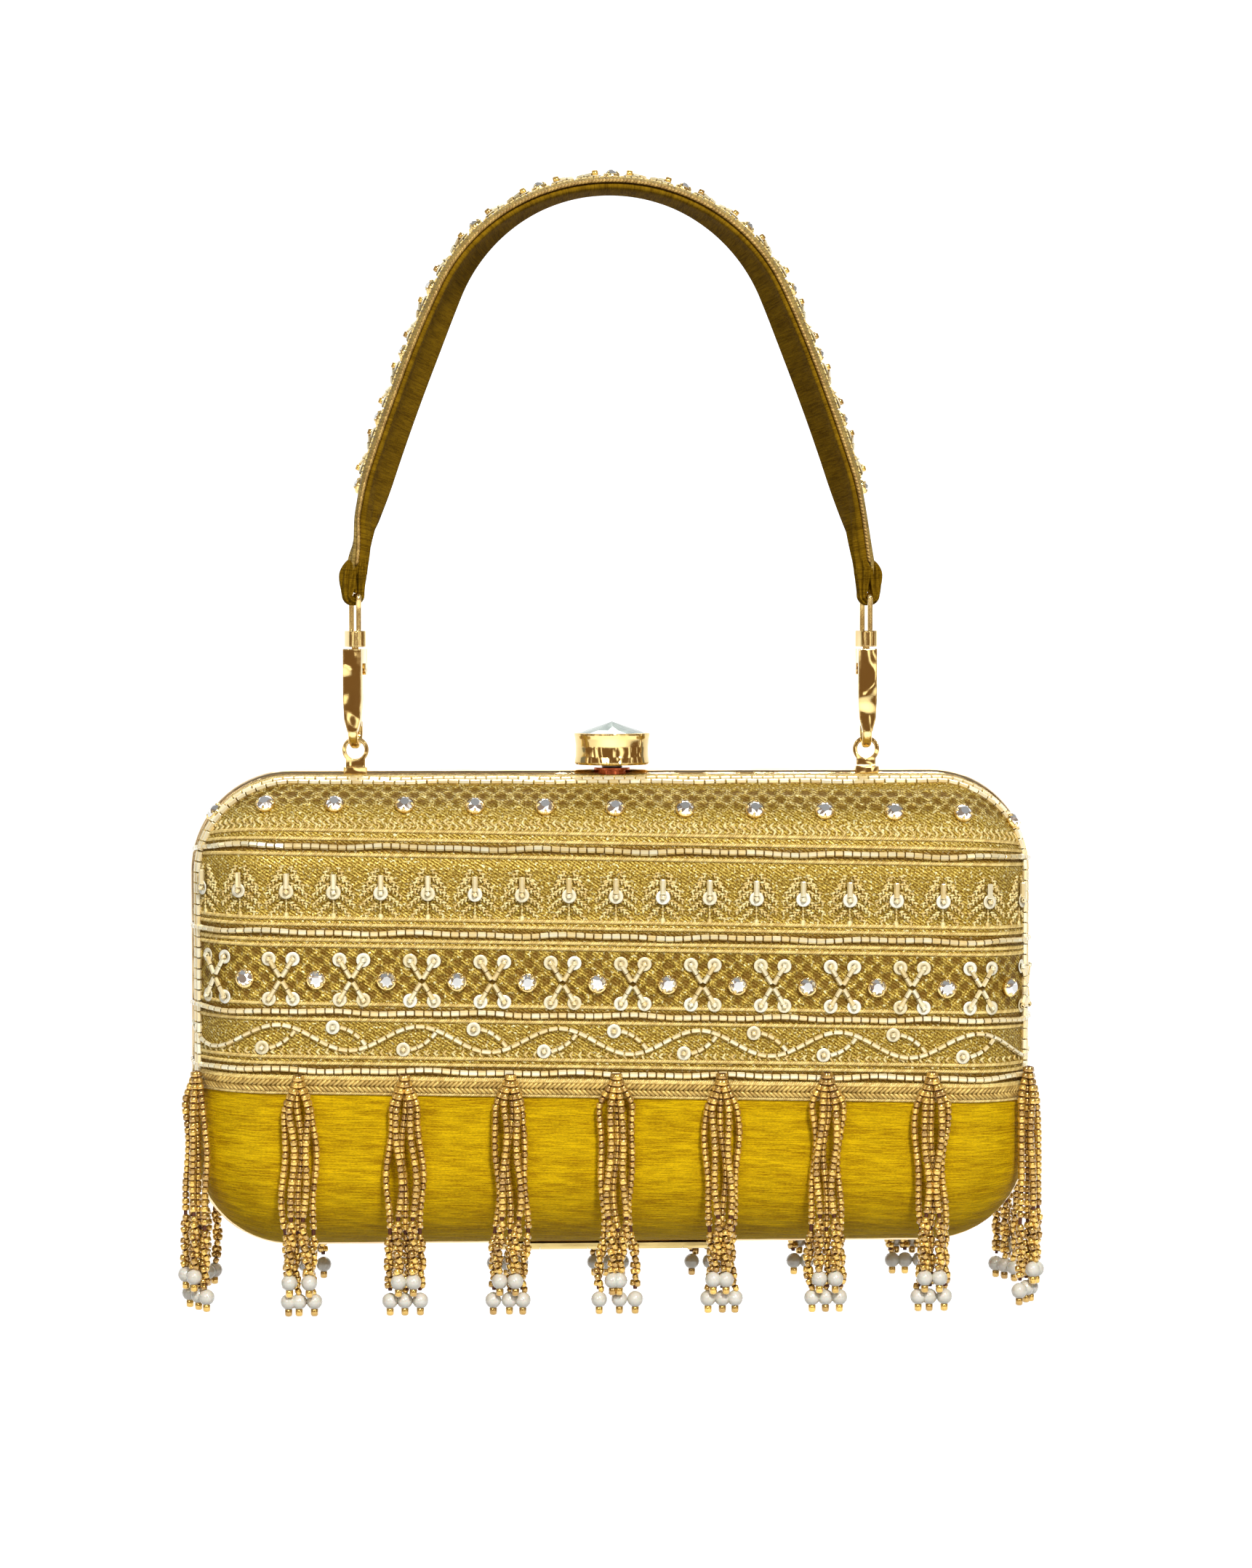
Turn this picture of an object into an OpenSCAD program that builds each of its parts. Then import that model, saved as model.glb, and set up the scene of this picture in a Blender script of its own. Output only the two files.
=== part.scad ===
// Beaded evening bag: a hard box clutch in two hinged halves, hung by a short
// padded strap with two swivel snap hooks, with a crystal push clasp and a
// fringe of bead tassels. The origin is the underside of the strap at its top,
// +X is to the right of a viewer who faces the front, -Y is towards them.

/* [Bag] */
// Width of the metal frame
bag_w = 210; // [190:1:230]
// Height of the metal frame
bag_h = 119; // [110:1:130]
// Depth of one half, from the parting plane to the flat of its cover
half_depth = 25; // [24:0.5:30]
// Radius of the frame's corners
corner_r = 25; // [24:0.5:28]
// Radius of the soft shoulder between the rim and the flat
shoulder_r = 20; // [18:0.5:21]

/* [Strap] */
// Drop from the strap's top to the top of the frame
strap_drop = 143.5; // [130:0.5:160]
// Width of the band
strap_w = 18; // [14:1:22]
// Thickness of the band's lining side
strap_lining_t = 1.9; // [1.5:0.1:2.5]
// Thickness of the band's embroidered side
strap_face_t = 1.4; // [1:0.1:2]
// Radius of the arch at the top, along the middle of the band
arch_r = 44; // [40:1:48]
// Distance of each lug and snap hook from the middle
lug_x = 64; // [55:1:72]

/* [Clasp] */
// Diameter of the clasp's cup
cup_d = 19; // [15:0.5:22]
// Height of the clasp's cup
cup_h = 7.9; // [6:0.1:10]
// Height of the crystal above the cup
crystal_rise = 2.8; // [2:0.1:4]
// Travel of the push clasp
clasp_travel = 1.2; // [0.8:0.1:1.3]

/* [Trimming] */
// Distance between neighbouring tassels
tassel_pitch = 25.9; // [24:0.1:26]
// Depth of the tassels' anchors below the frame's top
tassel_drop = 75; // [70:1:78]
// Length of the longest strands, to the pearl's middle
tassel_len = 54; // [45:1:62]
// Distance between neighbouring set stones
stone_pitch = 17.2; // [16:0.1:17.4]

/* [Hidden] */
$fn = 48;
fit = 0.05;
parting_y = 0.8;

// Bag layers, measured from the corner centres outwards and from the parting plane in
straight_w = bag_w / 2 - corner_r;
straight_h = bag_h / 2 - corner_r;
bag_mid_z = -strap_drop - bag_h / 2;
bag_low_z = -strap_drop - bag_h;
rim_inset = 1.2;
dome_p = corner_r - rim_inset - shoulder_r;
dome_q = half_depth - shoulder_r;
cover_t = 0.6;
shell_t = 1.6;
lining_t = 0.6;
layer_gap = 0.12;
shell_r = shoulder_r - cover_t - layer_gap;
lining_r = shell_r - shell_t - layer_gap;
layer_rim_q = 1.5;

// Frame channel
web_q = 1.4;
bead_r = 1.65;
slot_out_p = dome_p + shoulder_r + 0.15;
slot_in_p = dome_p + lining_r - lining_t - 0.15;
flange_t = 1;

// Clasp
clasp_q = 3.6;
stem_r = 1.2;
sleeve_r = 2;
sleeve_len = 8;
foot_r = 4.5;
foot_h = 0.6;
cup_gap = clasp_travel + 0.2;
latch_z = -9.2;
latch_t = 1;

// Hinge
hinge_r = 1;
hinge_pin_r = 0.5;
hinge_drop = 1.05;
knuckle_len = 12;
knuckles = 5;

// Lug, from the middle of its ring
lug_up = 5;
lug_r = 3.3;
lug_hole_r = 2.25;
lug_t = 1.2;
lug_z = lug_up - strap_drop;

// Snap hook, from the middle of the lug's ring
hook_t = 1.7;
hook_arc_r = 3.4;
hook_arc_z = 4.55;
hook_arc_w = 2.4;
hook_w = 4.6;
hook_top_z = 25.2;
bridge_z = 21.6;
gate_pivot_y = 2.9;
gate_pivot_z = 19.9;
gate_pin_r = 0.5;
gate_w = 2.4;
ear_t = 0.9;
collar_z = 25.7;
collar_h = 4;
neck_r = 0.9;
eye_wire_r = 0.65;
eye_y = 3;
eye_bend_r = 0.9;
eye_top_z = 38.55;
eye_turn = [18, 13];
hook_turn = [-10, 0];

// Strap route in the X-Z plane, right half, from the top down
arch_top_z = strap_lining_t;
arch_angle = 66;
arch_steps = 14;
leg_steps = 18;
leg_start = arch_r * [sin(arch_angle), cos(arch_angle)] + [0, arch_top_z - arch_r];
leg_start_dir = [cos(arch_angle), -sin(arch_angle)];
strap_end_z = lug_z + eye_top_z + 5.2;
leg_end = [lug_x, strap_end_z];
leg_start_reach = 25;
leg_end_reach = 8;

function bezier(a, b, c, d, t) =
    pow(1 - t, 3) * a + 3 * pow(1 - t, 2) * t * b + 3 * (1 - t) * t * t * c + pow(t, 3) * d;
leg_bend_top = leg_start + leg_start_reach * leg_start_dir;
leg_bend_end = leg_end + [0, leg_end_reach];
function leg_point(t) = bezier(leg_start, leg_bend_top, leg_bend_end, leg_end, t);
arch_side = [for (i = [0:arch_steps - 1])
    let (a = arch_angle * i / arch_steps)
    [arch_r * sin(a), arch_top_z - arch_r + arch_r * cos(a)]];
leg_side = [for (i = [0:leg_steps]) leg_point(i / leg_steps)];
right_side = concat(arch_side, leg_side);
side_count = len(right_side);
route = [for (i = [1 - side_count:side_count - 1])
    i < 0 ? [-right_side[-i][0], right_side[-i][1]] : right_side[i]];
route_count = len(route);

function route_dir(i) =
    let (v = route[min(i + 1, route_count - 1)] - route[max(i - 1, 0)]) v / norm(v);
function route_out(i) = let (d = route_dir(i)) [-d[1], d[0]];
lens = [for (i = 0, s = 0; i < route_count;
    s = s + (i + 1 < route_count ? norm(route[i + 1] - route[i]) : 0), i = i + 1) s];
strap_len = lens[route_count - 1];

// The band narrows where it is gathered into the snap hooks' eyes
gather_len = 26;
gather_w = 4.2;
function from_end(i) = min(lens[i], strap_len - lens[i]);
function smooth(t) = let (c = min(max(t, 0), 1)) c * c * (3 - 2 * c);
function band_w(i) = gather_w + (strap_w - gather_w) * smooth(from_end(i) / gather_len);

// One ring of a band between two distances from the route, with eased corners
function band_ring(i, low, high) =
    let (p = route[i], n = route_out(i), h = band_w(i) / 2, e = (high - low) * 0.3)
    [for (c = [[-h + e, low], [h - e, low], [h, low + e], [h, high - e],
               [h - e, high], [-h + e, high], [-h, high - e], [-h, low + e]])
        [p[0] + n[0] * c[1], c[0], p[1] + n[1] * c[1]]];

module band(low, high) {
    rings = [for (i = [0:route_count - 1]) band_ring(i, low, high)];
    n = 8;
    sides = [for (i = [0:route_count - 2], k = [0:n - 1])
        let (a = i * n + k, b = i * n + (k + 1) % n) [a, b, b + n, a + n]];
    first = [for (k = [n - 1:-1:0]) k];
    last = [for (k = [0:n - 1]) (route_count - 1) * n + k];
    polyhedron([for (r = rings, p = r) p], concat(sides, [first, last]), convexity = 6);
}

module strap_lining() {
    color("#7d6c1f") band(-strap_lining_t, 0);
}

module strap_face() {
    color("#c8a556") band(0.1, strap_face_t);
}

// Gathered end of the strap, folded round the bar of a snap hook's eye
tab_w = 3.8;
tab_r = 2.9;
module strap_tab() {
    color("#7d6c1f") translate([0, tab_w / 2, 0]) rotate([90, 0, 0]) linear_extrude(tab_w) difference() {
        union() {
            translate([0, eye_top_z]) circle(tab_r);
            translate([-strap_lining_t, eye_top_z])
                square([strap_lining_t + strap_face_t, strap_end_z - lug_z - eye_top_z - 0.1]);
        }
        translate([0, eye_top_z]) circle(eye_wire_r + 0.1);
    }
}

// A claw-set stone standing on z = 0
setting_r = 2.1;
setting_h = 1.2;
stone_r = 1.9;
stone_h = 1.1;
module set_stone() {
    color("#c9a85c") cylinder(h = setting_h, r = setting_r, $fn = 24);
    color("#f4f4f4") translate([0, 0, setting_h])
        cylinder(h = stone_h, r1 = stone_r, r2 = stone_r * 0.6, $fn = 24);
}

strap_stone_pitch = 17.3;
strap_stone_end = 19;
strap_stone_count = floor((strap_len - 2 * strap_stone_end) / strap_stone_pitch / 2) * 2 + 1;
function ring_at(s, i = 0) = i + 1 >= route_count - 1 || lens[i + 1] > s ? i : ring_at(s, i + 1);
module strap_stones() {
    for (k = [0:strap_stone_count - 1]) {
        s = strap_len / 2 + (k - (strap_stone_count - 1) / 2) * strap_stone_pitch;
        i = ring_at(s);
        f = (s - lens[i]) / (lens[i + 1] - lens[i]);
        p = route[i] + f * (route[i + 1] - route[i]);
        n = route_out(i) * (1 - f) + route_out(i + 1) * f;
        q = p + n * (strap_face_t + layer_gap);
        translate([q[0], 0, q[1]]) rotate([0, atan2(n[0], n[1]), 0]) set_stone();
    }
}

// Everything of a snap hook is drawn about the middle of the lug's ring
module at_lug(side, turn) {
    translate([side * lug_x, 0, lug_z]) rotate([0, 0, turn]) children();
}

module stadium(w, t) {
    square([w - t, t], center = true);
    for (s = [-1, 1]) translate([s * (w - t) / 2, 0]) circle(t / 2);
}

// Swivel eye: a wire loop standing on a collar that turns on the hook's neck
module swivel_eye() {
    color("#dcc68a") {
        difference() {
            translate([0, 0, collar_z]) rotate([0, 0, 90]) linear_extrude(collar_h) stadium(7.6, 4.4);
            translate([0, 0, collar_z - 1]) cylinder(h = 3, r = neck_r + fit);
            translate([0, 0, collar_z + 1.2]) cylinder(h = 1.6, r = 1.75);
        }
        for (s = [-1, 1]) {
            translate([0, s * eye_y, collar_z + collar_h])
                cylinder(h = eye_top_z - eye_bend_r - collar_z - collar_h, r = eye_wire_r);
            translate([0, s * (eye_y - eye_bend_r), eye_top_z - eye_bend_r])
                rotate([0, -90, 0]) rotate([0, 0, s > 0 ? 0 : -90])
                    rotate_extrude(angle = 90) translate([eye_bend_r, 0]) circle(eye_wire_r);
        }
        translate([0, eye_bend_r - eye_y, eye_top_z]) rotate([-90, 0, 0])
            cylinder(h = 2 * (eye_y - eye_bend_r), r = eye_wire_r);
    }
}

// Snap hook body: flat front bar, round bottom, upturned nose, bridge with ears, neck
module hook_body() {
    inner_y = hook_arc_r - hook_t / 2;
    nose_top = 7;
    color("#dcc68a") {
        translate([0, 0, hook_arc_z]) rotate([0, 90, 0]) rotate([0, 0, -90])
            rotate_extrude(angle = 180) translate([hook_arc_r, 0]) rotate([0, 0, 90])
                stadium(hook_arc_w, hook_t);
        translate([0, -inner_y, hook_arc_z]) rotate([90, 0, 0]) linear_extrude(hook_t) polygon([
            [-hook_arc_w / 2, 0], [hook_arc_w / 2, 0], [hook_w / 2 - 0.3, 3],
            [hook_w / 2, 8], [hook_w / 2, hook_top_z - hook_arc_z],
            [-hook_w / 2, hook_top_z - hook_arc_z], [-hook_w / 2, 8], [-hook_w / 2 + 0.3, 3]]);
        translate([0, hook_arc_r, hook_arc_z]) linear_extrude(nose_top - hook_arc_z)
            stadium(hook_arc_w, hook_t);
        difference() {
            translate([-hook_w / 2, -inner_y - 0.1, bridge_z])
                cube([hook_w, inner_y + 0.1 + 4.2, hook_top_z - bridge_z]);
            translate([-gate_w / 2 - 0.1, gate_pivot_y - 1.7, bridge_z - 1])
                cube([gate_w + 0.2, 4, 1.6]);
        }
        for (s = [-1, 1]) translate([s * (hook_w - ear_t) / 2, 0, 0]) rotate([90, 0, 90])
            linear_extrude(ear_t, center = true) difference() {
                union() {
                    translate([gate_pivot_y, gate_pivot_z]) circle(1.3);
                    translate([gate_pivot_y - 1.3, gate_pivot_z]) square([2.6, bridge_z - gate_pivot_z + 0.1]);
                }
                translate([gate_pivot_y, gate_pivot_z]) circle(gate_pin_r + fit);
            }
        translate([0, 0, hook_top_z]) cylinder(h = collar_z + 1.3 - hook_top_z, r = neck_r);
        translate([0, 0, collar_z + 1.3]) cylinder(h = 1.1, r = 1.6);
    }
}

// Gate: closes against the inside of the nose, with a thumb rib on its back
gate_end_z = 5.8;
gate_t = 1.3;
module gate() {
    back_y = hook_arc_r - hook_t / 2 - 0.12;
    color("#cdb679") rotate([90, 0, 90]) linear_extrude(gate_w, center = true) difference() {
        union() {
            translate([gate_pivot_y, gate_pivot_z]) circle(1.2);
            polygon([[back_y - gate_t, gate_end_z], [back_y, gate_end_z], [back_y, 8],
                [gate_pivot_y + 0.9, 11], [gate_pivot_y + 1.19, gate_pivot_z],
                [back_y - gate_t, gate_pivot_z]]);
            translate([gate_pivot_y + 1.1, 13]) circle(1.1);
        }
        translate([gate_pivot_y, gate_pivot_z]) circle(gate_pin_r + fit);
    }
}

module gate_pin() {
    color("#b9a467") translate([-hook_w / 2, gate_pivot_y, gate_pivot_z]) rotate([0, 90, 0])
        cylinder(h = hook_w, r = gate_pin_r);
}

// Gate spring: a short coil pressed between the front bar and the gate
spring_turns = 4;
module gate_spring() {
    wire_r = 0.25;
    start_y = -hook_arc_r + hook_t / 2 + 0.05;
    span = 3.3;
    color("#a8a8a8") for (k = [0:spring_turns - 1])
        translate([0, start_y + wire_r + k * (span - 2 * wire_r) / (spring_turns - 1), 18.2])
            rotate([90, 0, 0]) rotate_extrude() translate([0.9, 0]) circle(wire_r, $fn = 16);
}

// Lug: a keyhole plate with a foot bent over the front frame's rim
module lug() {
    color("#dcc68a") difference() {
        union() {
            rotate([90, 0, 0]) linear_extrude(lug_t, center = true) {
                circle(lug_r);
                translate([-2.4, -lug_up]) square([4.8, lug_up]);
            }
            translate([-2.9, parting_y - 4.3, -lug_up]) cube([5.8, 4.3 - parting_y + lug_t / 2, 0.8]);
            translate([-2.9, parting_y - 4.3, -lug_up - 1.1]) cube([5.8, 0.8, 1.9]);
        }
        rotate([90, 0, 0]) cylinder(h = lug_t + 2, r = lug_hole_r, center = true);
    }
}

// A ring of constant profile round the bag's outline. Its child is drawn with x
// measured outwards from the corner centres and y inwards from the parting plane.
module outline_ring() {
    for (i = [0:3]) {
        half = i % 2 == 0 ? straight_h : straight_w;
        out = i % 2 == 0 ? straight_w : straight_h;
        rotate([0, 0, 90 * i]) translate([out, half, 0]) {
            rotate([90, 0, 0]) linear_extrude(2 * half) children();
            rotate_extrude(angle = 90, $fn = 96) children();
        }
    }
}

// Section of one domed layer between two shoulder radii
module layer_section(r_in, r_out) {
    translate([dome_p, dome_q]) intersection() {
        difference() {
            circle(r_out, $fn = 96);
            circle(r_in, $fn = 96);
        }
        square(r_out + 1);
    }
    translate([dome_p + r_in, layer_rim_q]) square([r_out - r_in, dome_q - layer_rim_q]);
    translate([0, dome_q + r_in]) square([dome_p, r_out - r_in]);
}

module domed_layer(r_in, r_out) {
    outline_ring() layer_section(r_in, r_out);
    translate([-straight_w, -straight_h, dome_q + r_in])
        cube([2 * straight_w, 2 * straight_h, r_out - r_in]);
}

module frame_channel() {
    outline_ring() difference() {
        union() {
            translate([slot_in_p - flange_t, fit]) square([corner_r - bead_r - slot_in_p + flange_t, 2 * bead_r]);
            translate([corner_r - bead_r, fit + bead_r]) circle(bead_r);
        }
        translate([slot_in_p, web_q]) square([slot_out_p - slot_in_p, 2 * bead_r]);
    }
}

// Places a half drawn with its parting plane on z = 0 and its depth along +z
module front_half() {
    translate([0, parting_y, bag_mid_z]) rotate([90, 0, 0]) children();
}

module back_half() {
    translate([0, parting_y, bag_mid_z]) rotate([0, 0, 180]) rotate([90, 0, 0]) children();
}

// Hole through the top of the front half for the clasp's sleeve
module clasp_hole() {
    translate([0, bag_h / 2 + 1, clasp_q]) rotate([90, 0, 0]) cylinder(h = 12, r = sleeve_r + fit);
}

module front_frame() {
    color("#e2cf95") front_half() difference() {
        frame_channel();
        clasp_hole();
    }
}

module back_frame() {
    color("#e2cf95") back_half() frame_channel();
}

module front_shell() {
    color("#8a7a55") front_half() difference() {
        domed_layer(shell_r - shell_t, shell_r);
        clasp_hole();
    }
}

module back_shell() {
    color("#8a7a55") back_half() domed_layer(shell_r - shell_t, shell_r);
}

module front_cover() {
    color("#b98f22") front_half() difference() {
        domed_layer(shoulder_r - cover_t, shoulder_r);
        clasp_hole();
    }
}

module back_cover() {
    color("#b98f22") back_half() domed_layer(shoulder_r - cover_t, shoulder_r);
}

module front_lining() {
    color("#a9913c") front_half() difference() {
        domed_layer(lining_r - lining_t, lining_r);
        clasp_hole();
    }
}

module back_lining() {
    color("#a9913c") back_half() domed_layer(lining_r - lining_t, lining_r);
}

// Where a point of the flat cloth lies on the cover: [x, z, depth, nx, nz, nq].
// The cloth lies flat in the middle, and from there it is wrapped over the shoulder.
function wrap(u, v) =
    let (c = [min(max(u, -straight_w), straight_w), min(max(v, -straight_h), straight_h)],
         d = [u, v] - c, r = norm(d), n = r > 0 ? d / r : [0, 1],
         a = min(max(r - dome_p, 0) / shoulder_r * 180 / PI, 90),
         p = min(r, dome_p) + shoulder_r * sin(a))
    [c[0] + n[0] * p, c[1] + n[1] * p, dome_q + shoulder_r * cos(a),
     n[0] * sin(a), n[1] * sin(a), cos(a)];

// Stands its child on the cover of a half, pointing straight out of it
module stand_on_cover(u, v) {
    f = wrap(u, v);
    translate([f[0], f[1], f[2]] + layer_gap * [f[3], f[4], f[5]])
        rotate([0, acos(f[5]), atan2(f[4], f[3])]) children();
}

// The rows of set stones run a little downhill to the right, as the cloth lies
cloth_slope = -0.019;
upper_row_v = 51.4;
middle_row_v = 8;
middle_row_shift = -4.5;
module cover_stones() {
    for (k = [-6:6]) {
        u = k * stone_pitch;
        stand_on_cover(u, upper_row_v + cloth_slope * u) set_stone();
    }
    for (k = [-5:6]) {
        u = k * stone_pitch + middle_row_shift;
        stand_on_cover(u, middle_row_v + cloth_slope * u) set_stone();
    }
}

module front_stones() {
    front_half() cover_stones();
}

module back_stones() {
    back_half() cover_stones();
}

// Braid along the lower edge of the embroidered cloth
braid_drop = 76.5;
braid_t = 0.9;
braid_h = 3.4;
module braid() {
    flat_x = straight_w + dome_p;
    flat_q = half_depth + layer_gap;
    turn_c = [flat_x, dome_q];
    color("#d8c07a") translate([0, bag_h / 2 - braid_drop - braid_h / 2, 0]) rotate([-90, 0, 0])
        linear_extrude(braid_h) mirror([0, 1]) {
            translate([-flat_x, flat_q]) square([2 * flat_x, braid_t]);
            for (s = [0, 1]) mirror([s, 0]) translate(turn_c) intersection() {
                difference() {
                    circle(shoulder_r + layer_gap + braid_t, $fn = 96);
                    circle(shoulder_r + layer_gap, $fn = 96);
                }
                square(shoulder_r + 2);
            }
        }
}

module front_braid() {
    front_half() braid();
}

module back_braid() {
    back_half() braid();
}

// Hinge leaf with every second knuckle, drawn for the front half
module hinge_leaf(first) {
    length = knuckles * knuckle_len;
    color("#cdb679") difference() {
        union() {
            translate([-length / 2, -bag_h / 2 - 0.9, hinge_r + 0.15]) cube([length, 0.9, 2.1]);
            for (k = [first:2:knuckles - 1]) {
                x = -length / 2 + k * knuckle_len + fit;
                translate([x, -bag_h / 2 - hinge_drop, 0]) rotate([0, 90, 0])
                    cylinder(h = knuckle_len - 2 * fit, r = hinge_r);
                translate([x, -bag_h / 2 - 0.9, 0.7]) cube([knuckle_len - 2 * fit, 0.9, hinge_r]);
            }
        }
        translate([-length, -bag_h / 2 - hinge_drop, 0]) rotate([0, 90, 0])
            cylinder(h = 2 * length, r = hinge_pin_r + fit);
    }
}

module front_hinge_leaf() {
    front_half() hinge_leaf(0);
}

module back_hinge_leaf() {
    back_half() hinge_leaf(1);
}

module hinge_pin() {
    length = knuckles * knuckle_len;
    color("#b9a467") translate([-length / 2, parting_y, bag_low_z - hinge_drop]) rotate([0, 90, 0])
        cylinder(h = length, r = hinge_pin_r);
}

// The clasp is drawn about its axis, with z = 0 on top of the frame
module at_clasp() {
    translate([0, parting_y - clasp_q, -strap_drop]) children();
}

module clasp_base() {
    color("#b5763c") at_clasp() difference() {
        union() {
            difference() {
                cylinder(h = foot_h, r = foot_r);
                translate([-foot_r, clasp_q - fit, -1]) cube([2 * foot_r, foot_r, 3]);
            }
            difference() {
                translate([0, 0, -1.05]) cylinder(h = 1.05, r = foot_r - 1);
                translate([-foot_r, clasp_q - 2 * bead_r - 0.15, -2]) cube([2 * foot_r, 2 * foot_r, 3]);
            }
            translate([0, 0, -sleeve_len]) cylinder(h = sleeve_len, r = sleeve_r);
        }
        translate([0, 0, -sleeve_len - 1]) cylinder(h = sleeve_len + 3, r = stem_r + fit);
    }
}

crystal_seat = 1.6;
module clasp_cup() {
    r = cup_d / 2;
    recess_h = 3.4;
    stem_low = -latch_z + cup_gap + recess_h;
    color("#e8d089") at_clasp() translate([0, 0, cup_gap]) {
        rotate_extrude($fn = 96) polygon([
            [foot_r + 0.5, 0], [r - 0.5, 0], [r - 0.1, 0.5], [r - 0.35, 2], [r - 0.4, 4.5],
            [r - 0.2, cup_h - 1.4], [r, cup_h - 0.6], [r, cup_h - 0.1], [r - 0.2, cup_h],
            [r - 0.8, cup_h], [r - 0.8, cup_h - crystal_seat], [0, cup_h - crystal_seat],
            [0, recess_h], [foot_r + 0.5, recess_h]]);
        translate([0, 0, recess_h - stem_low]) cylinder(h = stem_low, r = stem_r);
    }
}

module clasp_crystal() {
    r = cup_d / 2 - 0.85;
    color("#e9f2f4") at_clasp() translate([0, 0, cup_gap + cup_h]) {
        translate([0, 0, -crystal_seat + 0.05]) cylinder(h = crystal_seat - 0.35, r = r, $fn = 64);
        translate([0, 0, -0.3]) cylinder(h = crystal_rise + 0.3, r1 = r, r2 = 0.15, $fn = 12);
    }
}

module clasp_spring() {
    wire_r = 0.3;
    turns = 4;
    low = foot_h + wire_r;
    high = cup_gap + 3.4 - wire_r;
    color("#a8a8a8") at_clasp() for (k = [0:turns - 1])
        translate([0, 0, low + k * (high - low) / (turns - 1)])
            rotate_extrude() translate([2.3, 0]) circle(wire_r, $fn = 16);
}

// Latch bar on the lower end of the clasp's stem, reaching under the keeper
module latch_bar() {
    reach = clasp_q + 3.2;
    color("#cdb679") at_clasp() difference() {
        union() {
            translate([-4, -2.6, latch_z]) cube([8, reach + 2.6, latch_t]);
            translate([-4, reach - 0.8, latch_z]) cube([8, 0.8, latch_t + 0.2]);
        }
        translate([0, 0, latch_z - 1]) cylinder(h = 4, r = stem_r);
    }
}

// Keeper that hangs from the back frame in front of the latch bar's lip
module latch_keeper() {
    top = slot_in_p - flange_t - corner_r;
    low = latch_z + latch_t + 0.3;
    color("#cdb679") translate([0, parting_y, -strap_drop]) {
        translate([-3.5, 1.2, low]) cube([7, 0.9, top - low]);
        translate([-3.5, 0.3, top - 0.8]) cube([7, 3.6, 0.8]);
    }
}

// Tassel of five bead strands with pearls, hung from z = 0, its outside towards -y
strand_r = 1;
pearl_r = 2;
strand_step = 2.15;
row_step = 2.25;
tail = 1.2;
module strand(length) {
    translate([0, 0, -length]) cylinder(h = length, r = strand_r, $fn = 24);
    translate([0, 0, -length]) sphere(pearl_r, $fn = 32);
    translate([0, 0, -length - pearl_r - tail]) cylinder(h = tail + 0.4, r = 0.9, $fn = 24);
}

module tassel() {
    short = tassel_len - 5;
    cap_t = row_step + 1.6;
    color("#c2a04a") {
        translate([-2 * strand_step - 0.6, -row_step - 0.8, -1.6]) cube([4 * strand_step + 1.2, cap_t, 1.6]);
        for (k = [-1:1]) translate([2 * k * strand_step, 0, 0]) strand(tassel_len);
        for (k = [-1, 1]) translate([k * strand_step, -row_step, 0]) strand(short);
    }
}

tassels_each_side = 3;
side_tassel_turn = 58;
tassel_stand = 2.4;
function side_tassel_x() = straight_w + dome_p + shoulder_r * sin(side_tassel_turn);
function side_tassel_q() = dome_q + shoulder_r * cos(side_tassel_turn);

// Places a tassel on the front half. Index -4 and 4 are the ones on the side walls.
module place_tassel(index) {
    z = bag_mid_z + bag_h / 2 - tassel_drop;
    side = sign(index);
    if (abs(index) <= tassels_each_side) {
        translate([index * tassel_pitch, parting_y - half_depth - tassel_stand, z]) tassel();
    } else {
        turn = side * side_tassel_turn;
        x = side * side_tassel_x() + tassel_stand * sin(turn);
        y = parting_y - side_tassel_q() - tassel_stand * cos(turn);
        translate([x, y, z]) rotate([0, 0, turn]) tassel();
    }
}

module front_tassel(number) {
    place_tassel(number - 5);
}

module back_tassel(number) {
    translate([0, 2 * parting_y, 0]) mirror([0, 1, 0]) place_tassel(number - 5);
}

strap_lining();
strap_face();
at_lug(-1, eye_turn[0]) mirror([1, 0, 0]) strap_tab();  // strap_tab_left
at_lug(1, eye_turn[1]) strap_tab();  // strap_tab_right
strap_stones();
at_lug(-1, eye_turn[0]) swivel_eye();  // swivel_eye_left
at_lug(1, eye_turn[1]) swivel_eye();  // swivel_eye_right
at_lug(-1, hook_turn[0]) hook_body();  // hook_left
at_lug(1, hook_turn[1]) hook_body();  // hook_right
at_lug(-1, hook_turn[0]) gate();  // gate_left
at_lug(1, hook_turn[1]) gate();  // gate_right
at_lug(-1, hook_turn[0]) gate_pin();  // gate_pin_left
at_lug(1, hook_turn[1]) gate_pin();  // gate_pin_right
at_lug(-1, hook_turn[0]) gate_spring();  // gate_spring_left
at_lug(1, hook_turn[1]) gate_spring();  // gate_spring_right
front_frame();
front_shell();
front_cover();
front_lining();
front_stones();
front_braid();
at_lug(-1, 0) lug();  // lug_left
at_lug(1, 0) lug();  // lug_right
clasp_base();
front_hinge_leaf();
hinge_pin();
clasp_cup();
clasp_crystal();
clasp_spring();
latch_bar();
back_frame();
back_shell();
back_cover();
back_lining();
back_stones();
back_braid();
back_hinge_leaf();
latch_keeper();
front_tassel(1);  // front_tassel_1
front_tassel(2);  // front_tassel_2
front_tassel(3);  // front_tassel_3
front_tassel(4);  // front_tassel_4
front_tassel(5);  // front_tassel_5
front_tassel(6);  // front_tassel_6
front_tassel(7);  // front_tassel_7
front_tassel(8);  // front_tassel_8
front_tassel(9);  // front_tassel_9
back_tassel(1);  // back_tassel_1
back_tassel(2);  // back_tassel_2
back_tassel(3);  // back_tassel_3
back_tassel(4);  // back_tassel_4
back_tassel(5);  // back_tassel_5
back_tassel(6);  // back_tassel_6
back_tassel(7);  // back_tassel_7
back_tassel(8);  // back_tassel_8
back_tassel(9);  // back_tassel_9
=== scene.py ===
import math

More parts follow.
